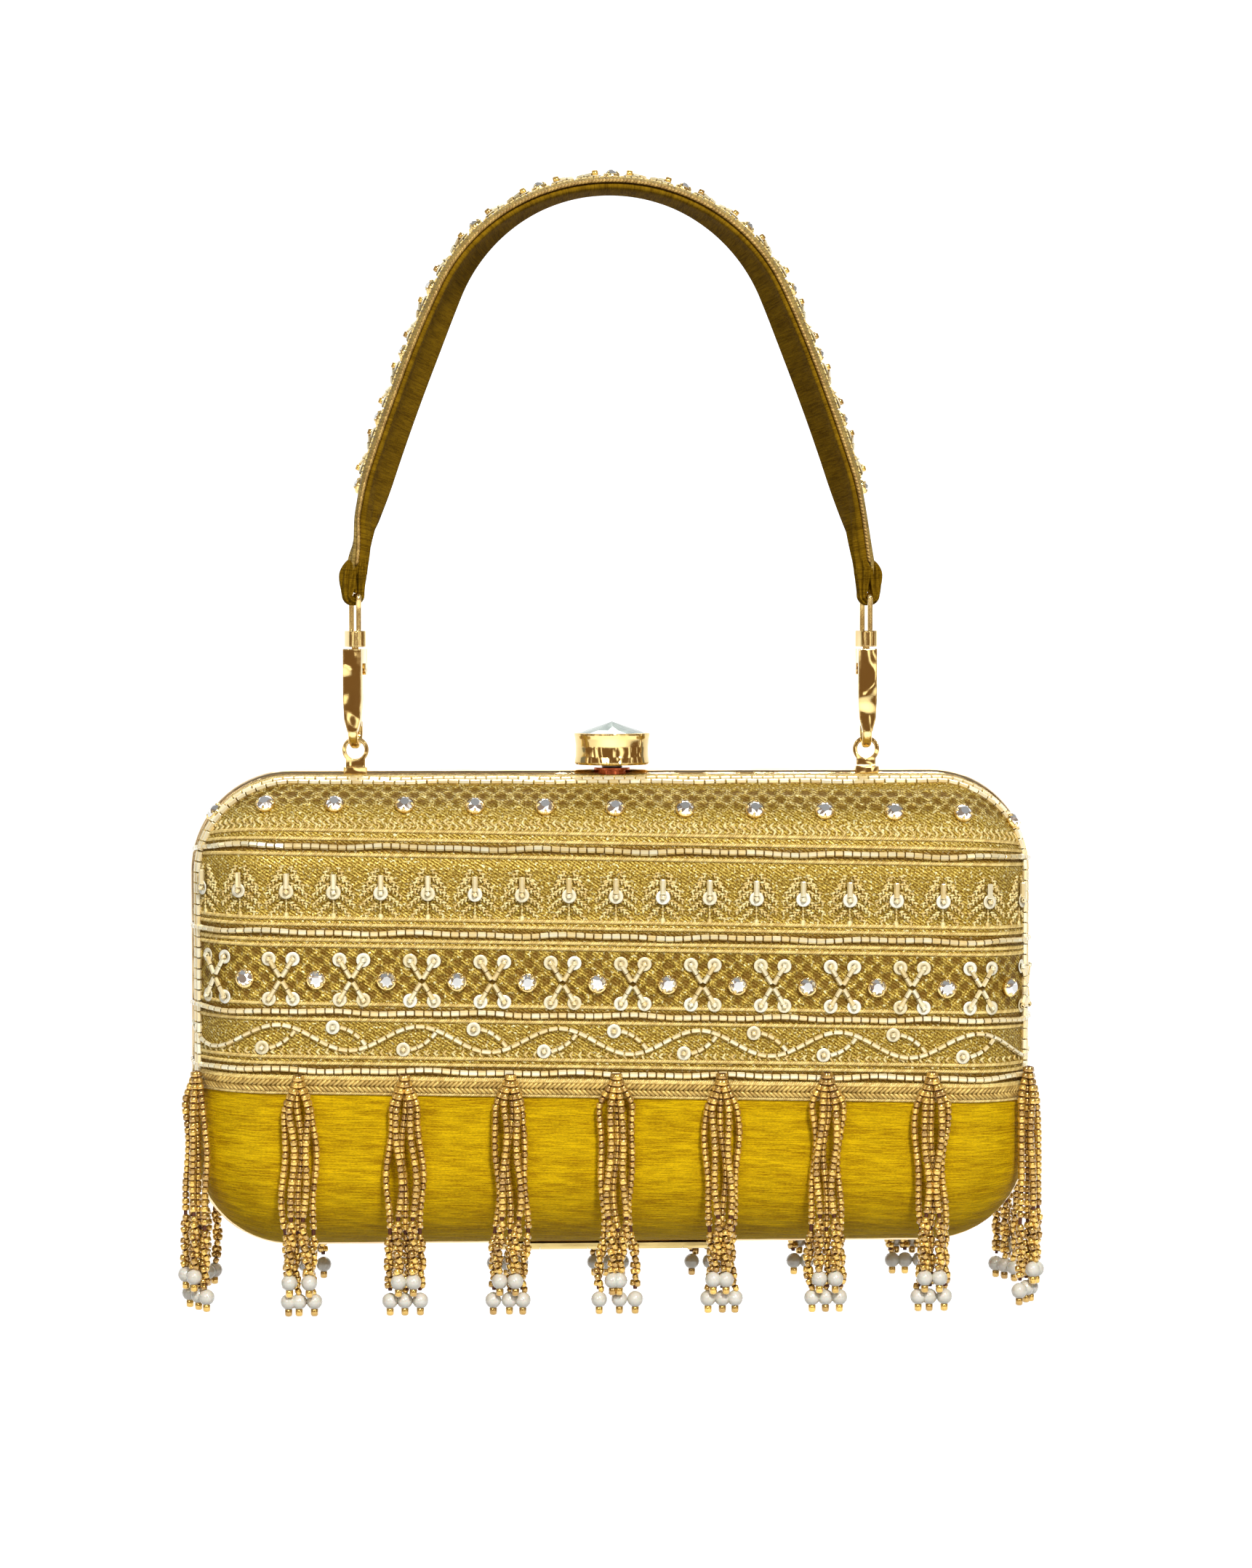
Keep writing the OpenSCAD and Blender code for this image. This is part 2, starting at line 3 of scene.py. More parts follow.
import bpy
import numpy as np
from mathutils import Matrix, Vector


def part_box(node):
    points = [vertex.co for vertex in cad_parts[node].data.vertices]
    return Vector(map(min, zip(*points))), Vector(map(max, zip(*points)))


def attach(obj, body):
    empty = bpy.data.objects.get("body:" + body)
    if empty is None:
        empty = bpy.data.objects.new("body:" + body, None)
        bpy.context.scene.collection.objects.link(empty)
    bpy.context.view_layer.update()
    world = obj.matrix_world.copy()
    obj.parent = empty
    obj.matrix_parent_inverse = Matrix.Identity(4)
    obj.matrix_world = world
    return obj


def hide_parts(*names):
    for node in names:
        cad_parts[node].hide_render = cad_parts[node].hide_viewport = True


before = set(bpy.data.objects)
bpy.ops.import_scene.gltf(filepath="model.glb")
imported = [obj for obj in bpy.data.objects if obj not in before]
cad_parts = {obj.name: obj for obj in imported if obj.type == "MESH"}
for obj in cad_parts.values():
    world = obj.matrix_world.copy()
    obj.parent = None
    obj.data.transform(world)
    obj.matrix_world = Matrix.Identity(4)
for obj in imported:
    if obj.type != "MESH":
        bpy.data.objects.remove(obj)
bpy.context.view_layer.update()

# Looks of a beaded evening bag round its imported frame. The helpers work in
# millimetres in the frame's own axes; MM turns them into Blender's metres.
MM = 0.001


def linked(name, data):
    """A new object with this data, in the scene."""
    obj = bpy.data.objects.new(name, data)
    bpy.context.scene.collection.objects.link(obj)
    return obj


# ---------------------------------------------------------------- camera
CAMERA_AT = Vector((-0.0447, -1.0003, -0.0998))
CAMERA_YAW, CAMERA_PITCH = 0.0483, -0.0473
LENS, SENSOR_WIDTH = 91.84, 36.0
NEAREST, FARTHEST = 0.05, 50.0
camera_data = bpy.data.cameras.new("camera")
camera_data.lens = LENS
camera_data.sensor_width = SENSOR_WIDTH
camera_data.clip_start = NEAREST
camera_data.clip_end = FARTHEST
camera = linked("camera", camera_data)
camera.location = CAMERA_AT
ahead = Vector((math.sin(CAMERA_YAW) * math.cos(CAMERA_PITCH),
                math.cos(CAMERA_YAW) * math.cos(CAMERA_PITCH),
                math.sin(CAMERA_PITCH)))
camera.rotation_mode = "QUATERNION"
camera.rotation_quaternion = ahead.to_track_quat("-Z", "Y")
bpy.context.scene.camera = camera


# ---------------------------------------------------------------- materials
def srgb(red, green, blue):
    """Linear colour of an 8-bit screen colour."""
    c = np.array([red, green, blue]) / 255
    lin = np.where(c <= 0.04045, c / 12.92, ((c + 0.055) / 1.055) ** 2.4)
    return (*lin.tolist(), 1.0)


class Val:
    """A socket that combines with numbers and other sockets through Math nodes."""

    def __init__(self, graph, socket):
        self.graph, self.socket = graph, socket

    def math(self, operation, *others):
        return self.graph.node("Math", enumerate((self, *others)), operation=operation)

    def __add__(self, other):
        return self.math("ADD", other)

    def __sub__(self, other):
        return self.math("SUBTRACT", other)

    def __mul__(self, other):
        return self.math("MULTIPLY", other)

    def __truediv__(self, other):
        return self.math("DIVIDE", other)

    def low(self, other):
        return self.math("MINIMUM", other)

    def high(self, other):
        return self.math("MAXIMUM", other)

    def ease(self, start, end):
        """0 before start, 1 after end, smooth between. It falls where start is above end."""
        rises = start < end
        return self.graph.node(
            "MapRange",
            {"Value": self, "From Min": min(start, end), "From Max": max(start, end),
             "To Min": 0.0 if rises else 1.0, "To Max": 1.0 if rises else 0.0},
            interpolation_type="SMOOTHSTEP")

    def between(self, start, full, full_end, end):
        """1 from full to full_end and 0 outside start and end."""
        return self.ease(start, full) * self.ease(end, full_end)


class Graph:
    """One material and the few kinds of node that these materials need."""

    def __init__(self, name):
        self.material = bpy.data.materials.new(name)
        self.material.use_nodes = True
        self.tree = self.material.node_tree
        self.tree.nodes.clear()

    def put(self, socket, value):
        if isinstance(value, Val):
            self.tree.links.new(value.socket, socket)
        else:
            socket.default_value = value

    def node(self, kind, inputs=(), out=0, **settings):
        """One output of a new node with these settings and inputs."""
        node = self.tree.nodes.new("ShaderNode" + kind)
        for setting, value in settings.items():
            setattr(node, setting, value)
        for key, value in dict(inputs).items():
            self.put(node.inputs[key], value)
        return Val(self, node.outputs[out])

    def place(self):
        """The point on the piece in its own axes, in metres."""
        return self.node("TexCoord", out="Object")

    def attribute(self, name, output="Vector"):
        return self.node("Attribute", out=output, attribute_name=name)

    def split(self, vector):
        node = self.tree.nodes.new("ShaderNodeSeparateXYZ")
        self.put(node.inputs[0], vector)
        return [Val(self, s) for s in node.outputs]

    def join(self, x, y):
        return self.node("CombineXYZ", enumerate((x, y)))

    def stretch(self, vector, by):
        return self.node("VectorMath", enumerate((vector, by)), operation="MULTIPLY")

    def noise(self, vector, scale, detail=2.0, roughness=0.5):
        return self.node("TexNoise", {"Vector": vector, "Scale": scale, "Detail": detail,
                                      "Roughness": roughness})

    def cells(self, x, y, pitch_x, pitch_y):
        """Distance to the nearest middle of a staggered grid, in the units of x and y."""
        found = None
        for shift in (0.0, 0.5):
            a = ((x / pitch_x + shift).math("FRACT") - 0.5) * pitch_x
            b = ((y / pitch_y + shift).math("FRACT") - 0.5) * pitch_y
            away = (a * a + b * b).math("SQRT")
            found = away if found is None else found.low(away)
        return found

    def blend(self, factor, first, second):
        return self.node("Mix", {0: factor, 6: first, 7: second}, out=2, data_type="RGBA")

    def bump(self, height, distance, strength, under=None):
        inputs = {"Strength": strength, "Distance": distance, "Height": height}
        if under is not None:
            inputs["Normal"] = under
        return self.node("Bump", inputs)

    def bevel(self, radius):
        return self.node("Bevel", {"Radius": radius}, samples=4)

    def finish(self, **sockets):
        """The surface. Underscores in the names stand for spaces."""
        shader = self.tree.nodes.new("ShaderNodeBsdfPrincipled")
        for name, value in sockets.items():
            self.put(shader.inputs[name.replace("_", " ")], value)
        out = self.tree.nodes.new("ShaderNodeOutputMaterial")
        self.tree.links.new(shader.outputs[0], out.inputs["Surface"])
        return self.material


def metal(name, bright, worn, roughness, edge=0.0005, brushed=0.0, sway=0.0012):
    """Polished plated metal: faint casting waves, hairlines and slightly dull patches."""
    g = Graph(name)
    at = g.place()
    patches = g.noise(at, 90.0, 3.0)
    hairs = g.noise(g.stretch(at, (1.0, 1.0, 12.0)), 900.0, 2.0)
    waves = g.noise(at, 95.0, 1.0)
    swayed = g.bump(waves, sway, 1.0, g.bevel(edge))
    return g.finish(
        Base_Color=g.blend(patches.ease(0.45, 0.75), bright, worn),
        Metallic=1.0,
        Roughness=patches.ease(0.35, 0.8) * 0.04 + (hairs * 0.02 + roughness),
        Normal=g.bump(hairs * (0.05 + brushed), 0.00006, 0.5, swayed))


def woven(name, light, dark, thread=0.30, slub=1.0, roughness=0.6, specular=0.05):
    """Plain woven silk with horizontal slubs, from the cloth's own millimetres."""
    g = Graph(name)
    cloth = g.attribute("cloth")
    x, y, _ = g.split(cloth)
    warp = (x * (2 * math.pi / thread)).math("SINE")
    weft = (y * (2 * math.pi / thread)).math("SINE")
    weave = warp * weft
    slubs = g.noise(g.join(x * 0.16, y * 2.6), 1.0, 4.0, 0.68)
    streaks = g.noise(g.join(x * 0.05, y * 0.35), 1.0, 3.0)
    fibre = g.noise(g.join(x * 1.5, y * 4.0), 1.0, 3.0, 0.7)
    fine = streaks.ease(0.38, 0.62) * 0.25 + fibre.ease(0.40, 0.60) * 0.30
    tone = slubs.ease(0.42, 0.58) * 0.45 + fine
    height = slubs * slub + (weave * 0.18 + (fibre * 0.3))
    return g.finish(
        Base_Color=g.blend(tone, dark, light),
        Roughness=roughness,
        Specular_IOR_Level=specular,
        Normal=g.bump(height, 0.00024, 0.8))


# Rows of bugles and of ferns on the cloth, as heights above its middle in millimetres
BEAD_ROWS = (40.5, 19.5, 0.0, -14.3)
FERN_PITCH, FERN_W = 11.5, 29.4
# Bands of the brocade at such heights: where each starts, is full, starts to fade and ends
COMB_BAND = (50.2, 53.4, 57.8, 60.0)
FADED_COMB_BAND = (42.4, 44.5, 51.0, 53.6)
SCALE_BAND = (2.0, 3.2, 15.8, 17.0)
FERN_BAND = (23.6, 25.0, 34.4, 36.6)
VINE_TOP = (-2.0, -2.8)
COMB_PITCH, SCALE_PITCH = (4.3, 4.8), (4.3, 4.2)
COMB_RADIUS = 1.7


def brocade():
    """Gold tissue with dark honeycomb cells above, plain in the fern band, scaled below. Painted
    shade darkens the ground round the ferns and along the bead rows, and pale specks are painted
    glints.
    """
    g = Graph("brocade")
    cloth = g.attribute("cloth")
    x, y, _ = g.split(cloth)
    drift = g.noise(cloth, 0.45, 2.0)
    across = x + (drift - 0.5) * 3.0
    comb = g.cells(across, y, *COMB_PITCH)
    scale = g.cells(across, y, *SCALE_PITCH)
    wobble = g.noise(cloth, 0.9, 3.0, 0.6)
    grain = g.noise(cloth, 1.9, 4.0, 0.72)
    leaves = g.noise(g.stretch(cloth, (0.55, 1.5, 1.0)), 1.0, 2.0, 0.6)
    upper = y.between(*COMB_BAND)
    below = y.between(*FADED_COMB_BAND)
    scaled = y.between(*SCALE_BAND)
    leafy = y.between(*FERN_BAND).high(y.ease(*VINE_TOP))
    fern_x = ((x / FERN_PITCH + 0.5).math("FRACT") - 0.5) * FERN_PITCH
    fern_y = y - (FERN_W - 0.2)
    from_fern = (fern_x * fern_x * 0.045 + fern_y * fern_y * 0.034).math("SQRT")
    # Painted shade: the ground close round each fern is darkened, standing in for the shade
    # between its raised stitches.
    painted_fern_shade = from_fern.ease(1.12, 0.8) * grain.ease(0.56, 0.44)
    dark_comb = (comb + (wobble - 0.5) * 2.2).ease(COMB_RADIUS, 0.5) * upper
    dark_scale = (scale + (wobble - 0.5) * 2.0).ease(1.6, 0.6) * scaled
    dark_leaf = leaves.ease(0.54, 0.40) * leafy * 0.45
    # dark holds the woven pattern and the painted shade round the ferns.
    dark = dark_comb.high(dark_scale).high(dark_leaf).high(painted_fern_shade * 0.5)
    rim_comb = (comb - COMB_RADIUS).math("ABSOLUTE").ease(0.6, 0.1) * (upper + below * 0.6)
    slant = ((x * 5.0 + y * 7.6) + grain * 7.0).math("SINE")
    lit = (grain * 0.9 + slant * 0.05).ease(0.36, 0.60)
    gold = g.blend(lit, srgb(128, 92, 6), srgb(234, 206, 100))
    # Painted glints: pale specks on the gold ground, kept off the dark pattern, stand in for the
    # sparkle of the metal threads.
    painted_glint = g.noise(cloth, 1.25, 1.0).ease(0.60, 0.70) * (dark * -1.0 + 1.0)
    gold = g.blend(painted_glint * 0.8, gold, srgb(255, 246, 190))
    gold = g.blend(rim_comb * 0.45 * lit, gold, srgb(255, 240, 178))
    height = rim_comb * 0.6 + (grain * 0.8 + slant * 0.1) - dark * 0.8
    # Painted shadow: a dark line along each bead row, where the raised bugles shade the cloth.
    painted_row_shadow = None
    for row in BEAD_ROWS:
        line = (y - row).math("ABSOLUTE").ease(1.6, 0.8)
        painted_row_shadow = line if painted_row_shadow is None else painted_row_shadow.high(line)
    # dark now also holds the painted shadow along the bead rows.
    dark = dark.high(painted_row_shadow)
    return g.finish(
        Base_Color=g.blend(dark * 0.8, gold, srgb(104, 68, 4)),
        Metallic=0.3,
        Roughness=dark * 0.15 + 0.36,
        Specular_IOR_Level=0.15,
        Normal=g.bump(height, 0.0004, 0.9))


def thread_gold(name, light, dark, metallic, roughness=0.34):
    """Metal thread: fine cross-grooves on each grain and a tint of its own."""
    g = Graph(name)
    tint = g.attribute("tint", "Fac")
    fine = g.noise(g.place(), 2600.0, 2.0)
    tone = tint * 0.7 + fine * 0.3
    return g.finish(
        Base_Color=g.blend(tone, dark, light),
        Metallic=metallic,
        Roughness=fine * 0.2 + roughness,
        Normal=g.bump(fine, 0.00008, 0.6))


def glass_bead(name, light, dark, metallic, roughness, coat):
    """Lined glass or plated bead. Its tint differs from bead to bead."""
    g = Graph(name)
    tint = g.attribute("tint", "Fac")
    cloud = g.noise(g.place(), 700.0, 2.0)
    return g.finish(
        Base_Color=g.blend(tint * 0.8 + cloud * 0.2, dark, light),
        Metallic=metallic,
        Roughness=cloud * 0.10 + roughness,
        Coat_Weight=coat,
        Coat_Roughness=0.04,
        Normal=g.bump(cloud, 0.00005, 0.3))


def pearl_coat():
    """Cream coat with a warmer rim, as on a glass pearl."""
    g = Graph("pearl_coat")
    cloud = g.noise(g.place(), 450.0, 2.0)
    rim = g.node("LayerWeight", {"Blend": 0.35}, out="Facing")
    body = g.blend(cloud, srgb(232, 230, 220), srgb(214, 206, 186))
    return g.finish(
        Base_Color=g.blend(rim * 0.55, body, srgb(190, 170, 130)),
        Roughness=0.22,
        Coat_Weight=0.7,
        Coat_Roughness=0.08,
        Subsurface_Weight=0.15,
        Subsurface_Scale=0.001)


def cut_stone(name, light, dark, metallic, roughness, coat=1.0):
    """Foiled glass stone: facets mirror the room, with a faint grey or warm body. On the clasp
    crystal the tint varies from point to point, as painted reflections on the facets.
    """
    g = Graph(name)
    tint = g.attribute("tint", "Fac")
    cloud = g.noise(g.place(), 1500.0, 1.0)
    return g.finish(
        Base_Color=g.blend(tint * 0.75 + cloud * 0.25, dark, light),
        Metallic=metallic,
        Roughness=roughness,
        Coat_Weight=coat,
        Coat_Roughness=0.0)


def board():
    """Stiff grey-brown pulp board with flecks and pressed fibres."""
    g = Graph("shell_board")
    at = g.place()
    fibre = g.noise(g.stretch(at, (1.0, 1.0, 3.0)), 700.0, 4.0)
    flecks = g.noise(at, 1500.0, 1.0).ease(0.68, 0.75)
    tone = g.blend(fibre, srgb(118, 98, 66), srgb(160, 138, 98))
    return g.finish(
        Base_Color=g.blend(flecks * 0.7, tone, srgb(70, 56, 36)),
        Roughness=0.85,
        Normal=g.bump(fibre, 0.0002, 0.6))


GOLD = metal("gold_plate", srgb(238, 210, 142), srgb(216, 184, 114), 0.03)
RIM_GOLD = metal("rim_gold_plate", srgb(226, 200, 156), srgb(206, 176, 130), 0.07, sway=0.0006)
COPPER = metal("copper_plate", srgb(206, 112, 70), srgb(160, 74, 44), 0.2, 0.00015)
LATCH = metal("latch_plate", srgb(205, 182, 121), srgb(180, 156, 98), 0.3, 0.0001, 0.2)
STEEL = metal("pin_steel", srgb(200, 188, 150), srgb(170, 158, 124), 0.25, 0.00005, 0.1)
SPRING = metal("spring_steel", srgb(188, 188, 186), srgb(140, 140, 140), 0.3, 0.00003)
BOARD = board()
BROCADE = brocade()
RAW_SILK = woven("raw_silk", srgb(250, 206, 10), srgb(166, 120, 0), slub=1.5)
STRAP_SILK = woven("strap_silk", srgb(158, 120, 20), srgb(92, 64, 4), 0.26, 0.5, 0.8, 0.02)
# Painted shade: a darker copy of the bag's brocade for the strap's face, which stands in shade.
STRAP_FACE_PAINTED_SHADE = woven("strap_brocade_painted_shade", srgb(190, 160, 84), srgb(112, 86, 26), 0.5, 1.0, 0.5, 0.2)
SATIN = woven("satin_lining", srgb(206, 182, 100), srgb(164, 138, 60), 0.2, 0.25, 0.32, 0.5)
ROPE = thread_gold("rope_thread", srgb(255, 234, 156), srgb(172, 130, 40), 0.35)
BRAID = thread_gold("braid_thread", srgb(238, 206, 118), srgb(126, 88, 18), 0.4, 0.3)
SEAM = thread_gold("seam_thread", srgb(206, 170, 92), srgb(112, 76, 18), 0.35)
FERN = thread_gold("fern_thread", srgb(255, 242, 178), srgb(204, 164, 72), 0.2, 0.3)
SEED = glass_bead("seed_bead", srgb(252, 208, 96), srgb(106, 54, 4), 0.65, 0.05, 1.0)
BUGLE = glass_bead("bugle_bead", srgb(255, 252, 222), srgb(240, 204, 116), 0.3, 0.1, 1.0)
SEQUIN = glass_bead("sequin_foil", srgb(255, 254, 240), srgb(232, 214, 160), 0.1, 0.25, 0.4)
PEARL = pearl_coat()
STONE = cut_stone("foiled_stone", srgb(255, 255, 255), srgb(200, 198, 190), 0.85, 0.0)
CRYSTAL = cut_stone("clasp_crystal", srgb(186, 200, 190), srgb(96, 112, 104), 0.5, 0.08, 0.2)
# Real strand thread, made thick and dark red-brown to paint the shade between the beads and
# strands.
THREAD_AND_PAINTED_SHADE = thread_gold("strand_thread_and_painted_shade", srgb(116, 52, 8), srgb(70, 26, 2), 0.1, 0.6)


def smooth(t):
    t = np.clip(t, 0, 1)
    return t * t * (3 - 2 * t)


# ---------------------------------------------------------------- pieces
RANDOM = np.random.default_rng(11)


class Piece:
    """Gathers mesh parts in millimetres and turns them into one object."""

    def __init__(self, name, materials):
        self.name, self.materials = name, materials
        self.points, self.tints, self.cloth, self.faces = [], [], [], []
        self.count = 0

    def add(self, points, parts, tint=None, cloth=None):
        """parts are (faces, material slot, smooth), with faces a (k, n) array."""
        n = len(points)
        self.points.append(np.asarray(points, float))
        self.tints.append(np.full(n, 0.5) if tint is None else np.asarray(tint, float))
        self.cloth.append(np.zeros((n, 3)) if cloth is None else np.asarray(cloth, float))
        for faces, slot, smooth in parts:
            self.faces.append((np.asarray(faces, int) + self.count, slot, smooth))
        self.count += n

    def stamp(self, shape, origins, frames, slot=None, low=0.2, high=0.9):
        """Copies of a shape at each origin. The frames' columns are its scaled axes."""
        points, parts = shape
        many = len(origins)
        if many == 0:
            return
        placed = np.einsum("mij,nj->mni", frames, points) + origins[:, None, :]
        tint = np.repeat(RANDOM.uniform(low, high, many), len(points))
        shift = (np.arange(many) * len(points))[:, None, None]
        all_parts = [((np.asarray(faces)[None] + shift).reshape(-1, len(faces[0])),
                      part_slot if slot is None else slot, smooth)
                     for faces, part_slot, smooth in parts]
        self.add(placed.reshape(-1, 3), all_parts, tint)

    def build(self, body, slot, replaced=(), turned=False):
        points = np.concatenate(self.points)
        if turned:
            points = points * [-1, -1, 1] + [0, 2 * PARTING_Y, 0]
        mesh = bpy.data.meshes.new(self.name)
        loops = np.concatenate([f.ravel() for f, _, _ in self.faces])
        sizes = np.concatenate([np.full(len(f), f.shape[1]) for f, _, _ in self.faces])
        slots = np.concatenate([np.full(len(f), s) for f, s, _ in self.faces])
        smooth = np.concatenate([np.full(len(f), m) for f, _, m in self.faces])
        mesh.vertices.add(len(points))
        mesh.vertices.foreach_set("co", (points * MM).astype(np.float32).ravel())
        mesh.loops.add(len(loops))
        mesh.loops.foreach_set("vertex_index", loops.astype(np.int32))
        mesh.polygons.add(len(sizes))
        starts = np.concatenate([[0], np.cumsum(sizes)[:-1]])
        mesh.polygons.foreach_set("loop_start", starts.astype(np.int32))
        mesh.polygons.foreach_set("material_index", slots.astype(np.int32))
        mesh.update(calc_edges=True)
        mesh.polygons.foreach_set("use_smooth", smooth.astype(bool))
        tint = mesh.attributes.new("tint", "FLOAT", "POINT")
        tint.data.foreach_set("value", np.concatenate(self.tints).astype(np.float32))
        cloth = mesh.attributes.new("cloth", "FLOAT_VECTOR", "POINT")
        cloth.data.foreach_set("vector", np.concatenate(self.cloth).astype(np.float32).ravel())
        mesh.validate()
        for material in self.materials:
            mesh.materials.append(material)
        obj = linked(self.name, mesh)
        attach(obj, body)
        if replaced:
            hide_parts(*replaced)
        return obj


def grid_faces(rows, columns, wrap_rows=False, wrap_columns=False):
    """Quads of a grid of points stored row by row."""
    r = np.arange(rows if wrap_rows else rows - 1)
    c = np.arange(columns if wrap_columns else columns - 1)
    a = (r[:, None] * columns + c[None]).ravel()
    b = (r[:, None] * columns + (c[None] + 1) % columns).ravel()
    low = (((r[:, None] + 1) % rows) * columns + c[None]).ravel()
    low_b = (((r[:, None] + 1) % rows) * columns + (c[None] + 1) % columns).ravel()
    return np.stack([a, b, low_b, low], 1)


def closed_tube(rows, around):
    """Faces of a tube whose two ends are closed by one face each."""
    end = np.arange(around)
    return [(grid_faces(rows, around, False, True), 0, True), (end[::-1][None], 0, True),
            ((end + (rows - 1) * around)[None], 0, True)]


def spun(profile, segments, axis="x", closed=False, smooth=True, caps=False, slot=0):
    """A profile of (along, radius) points turned round an axis."""
    profile = np.array(profile, float)
    turn = np.arange(segments) * 2 * math.pi / segments
    along = np.repeat(profile[:, 0], segments)
    first = np.outer(profile[:, 1], np.cos(turn)).ravel()
    second = np.outer(profile[:, 1], np.sin(turn)).ravel()
    order = (along, first, second) if axis == "x" else (first, second, along)
    parts = [(grid_faces(len(profile), segments, closed, True), slot, smooth)]
    if caps:
        ring = np.arange(segments)
        parts.append((ring[::-1][None], slot, smooth))
        parts.append(((ring + (len(profile) - 1) * segments)[None], slot, smooth))
    return np.stack(order, 1), parts


def merged(shapes):
    """Several shapes as one. Each item is (shape, origin, 3x3 axes)."""
    points, parts, count = [], [], 0
    for (shape_points, shape_parts), origin, axes in shapes:
        placed = shape_points @ np.array(axes, float).T + np.array(origin, float)
        points.append(placed)
        for faces, slot, smooth in shape_parts:
            parts.append((np.asarray(faces) + count, slot, smooth))
        count += len(placed)
    return np.concatenate(points), parts


SEED_SHAPE = spun([(-0.40, 0.20), (-0.5, 0.38), (-0.34, 0.5), (0.34, 0.5),
                   (0.5, 0.38), (0.40, 0.20)], 8)
BUGLE_SHAPE = spun([(-0.5, 0.25), (-0.5, 0.44), (-0.44, 0.5), (0.44, 0.5),
                    (0.5, 0.44), (0.5, 0.25)], 6, smooth=False)
GRAIN_SHAPE = spun([(-0.5, 0.10), (-0.24, 0.44), (0.24, 0.44), (0.5, 0.10)], 5, caps=True)
BALL_SHAPE = spun([(-0.5, 0.04)] + [(-0.5 * math.cos(a), 0.5 * math.sin(a))
                                    for a in np.linspace(0.35, math.pi - 0.35, 7)]
                  + [(0.5, 0.04)], 12, caps=True)
SEQUIN_SHAPE = spun([(0.0, 0.19), (0.02, 0.36), (0.06, 0.5), (0.10, 0.49), (0.06, 0.35),
                     (0.04, 0.19)], 16, "z", closed=True)


def ring(radius, height, many, offset):
    """Points of a level circle, turned by a share of their spacing."""
    turn = (np.arange(many) + offset) * 2 * math.pi / many
    return np.stack([radius * np.cos(turn), radius * np.sin(turn), np.full(many, height)], 1)


def brilliant():
    """A round brilliant's crown, girdle radius 1 and height 1."""
    n = 8
    points = np.concatenate([ring(0.52, 1.0, n, 0), ring(0.80, 0.62, n, 0.5),
                             ring(1.0, 0.12, 2 * n, 0), ring(0.98, 0.0, 2 * n, 0)])
    k = np.arange(n)
    nxt = (k + 1) % n
    mid, girdle, foot = n, 2 * n, 4 * n
    stars = np.stack([k, mid + k, nxt], 1)
    kites = np.stack([k, mid + (k - 1) % n, girdle + 2 * k, mid + k], 1)
    left = np.stack([mid + k, girdle + 2 * k, girdle + 2 * k + 1], 1)
    right = np.stack([mid + k, girdle + 2 * k + 1, girdle + (2 * k + 2) % (2 * n)], 1)
    m = np.arange(2 * n)
    belt = np.stack([girdle + m, foot + m, foot + (m + 1) % (2 * n),
                     girdle + (m + 1) % (2 * n)], 1)
    return points, [(k[None], 0, False), (stars[:, ::-1], 0, False), (kites, 0, False),
                    (left, 0, False), (right, 0, False), (belt, 0, False),
                    ((foot + m)[::-1][None], 0, False)]


STONE_R, CROWN_H = 1.86, 1.26
CLAW = (1.35, 0.62, 0.5)


def claw_setting():
    """A stone in a cup with four claws, standing on z = 0."""
    cup = spun([(0.0, 1.5), (0.0, 2.0), (0.5, 2.1), (1.15, 2.08), (1.3, 1.92), (1.1, 1.6),
                (0.5, 1.5)], 20, "z", closed=True, slot=1)
    items = [(cup, (0, 0, 0), np.eye(3)),
             (brilliant(), (0, 0, 1.02), np.diag([STONE_R, STONE_R, CROWN_H]))]
    for quarter in range(4):
        turn = math.radians(45 + 90 * quarter)
        out = np.array([math.cos(turn), math.sin(turn), 0])
        across = np.array([-out[1], out[0], 0])
        lean = np.array([-0.62 * out[0], -0.62 * out[1], 0.78])
        other = np.cross(lean, across)
        axes = np.stack([lean * CLAW[0], across * CLAW[1], other * CLAW[2]], 1)
        claw_points, claw_parts = GRAIN_SHAPE
        claw = (claw_points, [(f, 1, s) for f, _, s in claw_parts])
        items.append((claw, out * 1.78 + np.array([0, 0, 1.45]), axes))
    return merged(items)


SETTING_SHAPE = claw_setting()

# ---------------------------------------------------------------- the bag's cover
BAG_W, BAG_H, HALF_DEPTH = 210.0, 119.0, 25.0
CORNER_R, SHOULDER_R = 25.0, 20.0
STRAIGHT_W, STRAIGHT_H = BAG_W / 2 - CORNER_R, BAG_H / 2 - CORNER_R
DOME_P, DOME_Q = 3.8, 5.0
PARTING_Y = 0.8
STRAP_DROP = 143.5
MID_Z = -STRAP_DROP - BAG_H / 2
SLOPE = -0.019
QUARTER = SHOULDER_R * math.pi / 2
CLOTH_REACH = DOME_P + QUARTER + 3.0
ROW_REACH = CLOTH_REACH - 2.2
CLOTH_U, CLOTH_TOP, CLOTH_FOOT = 118.3, 75, -76
FAR_U = 125
CLOTH_STEP, LINING_STEP, LINING_FOOT, LINING_UNDER = 0.7, 1.6, 73.0, 2.74
CUT_W, BRAID_W = -17.8, -18.1
TINY = 1e-9


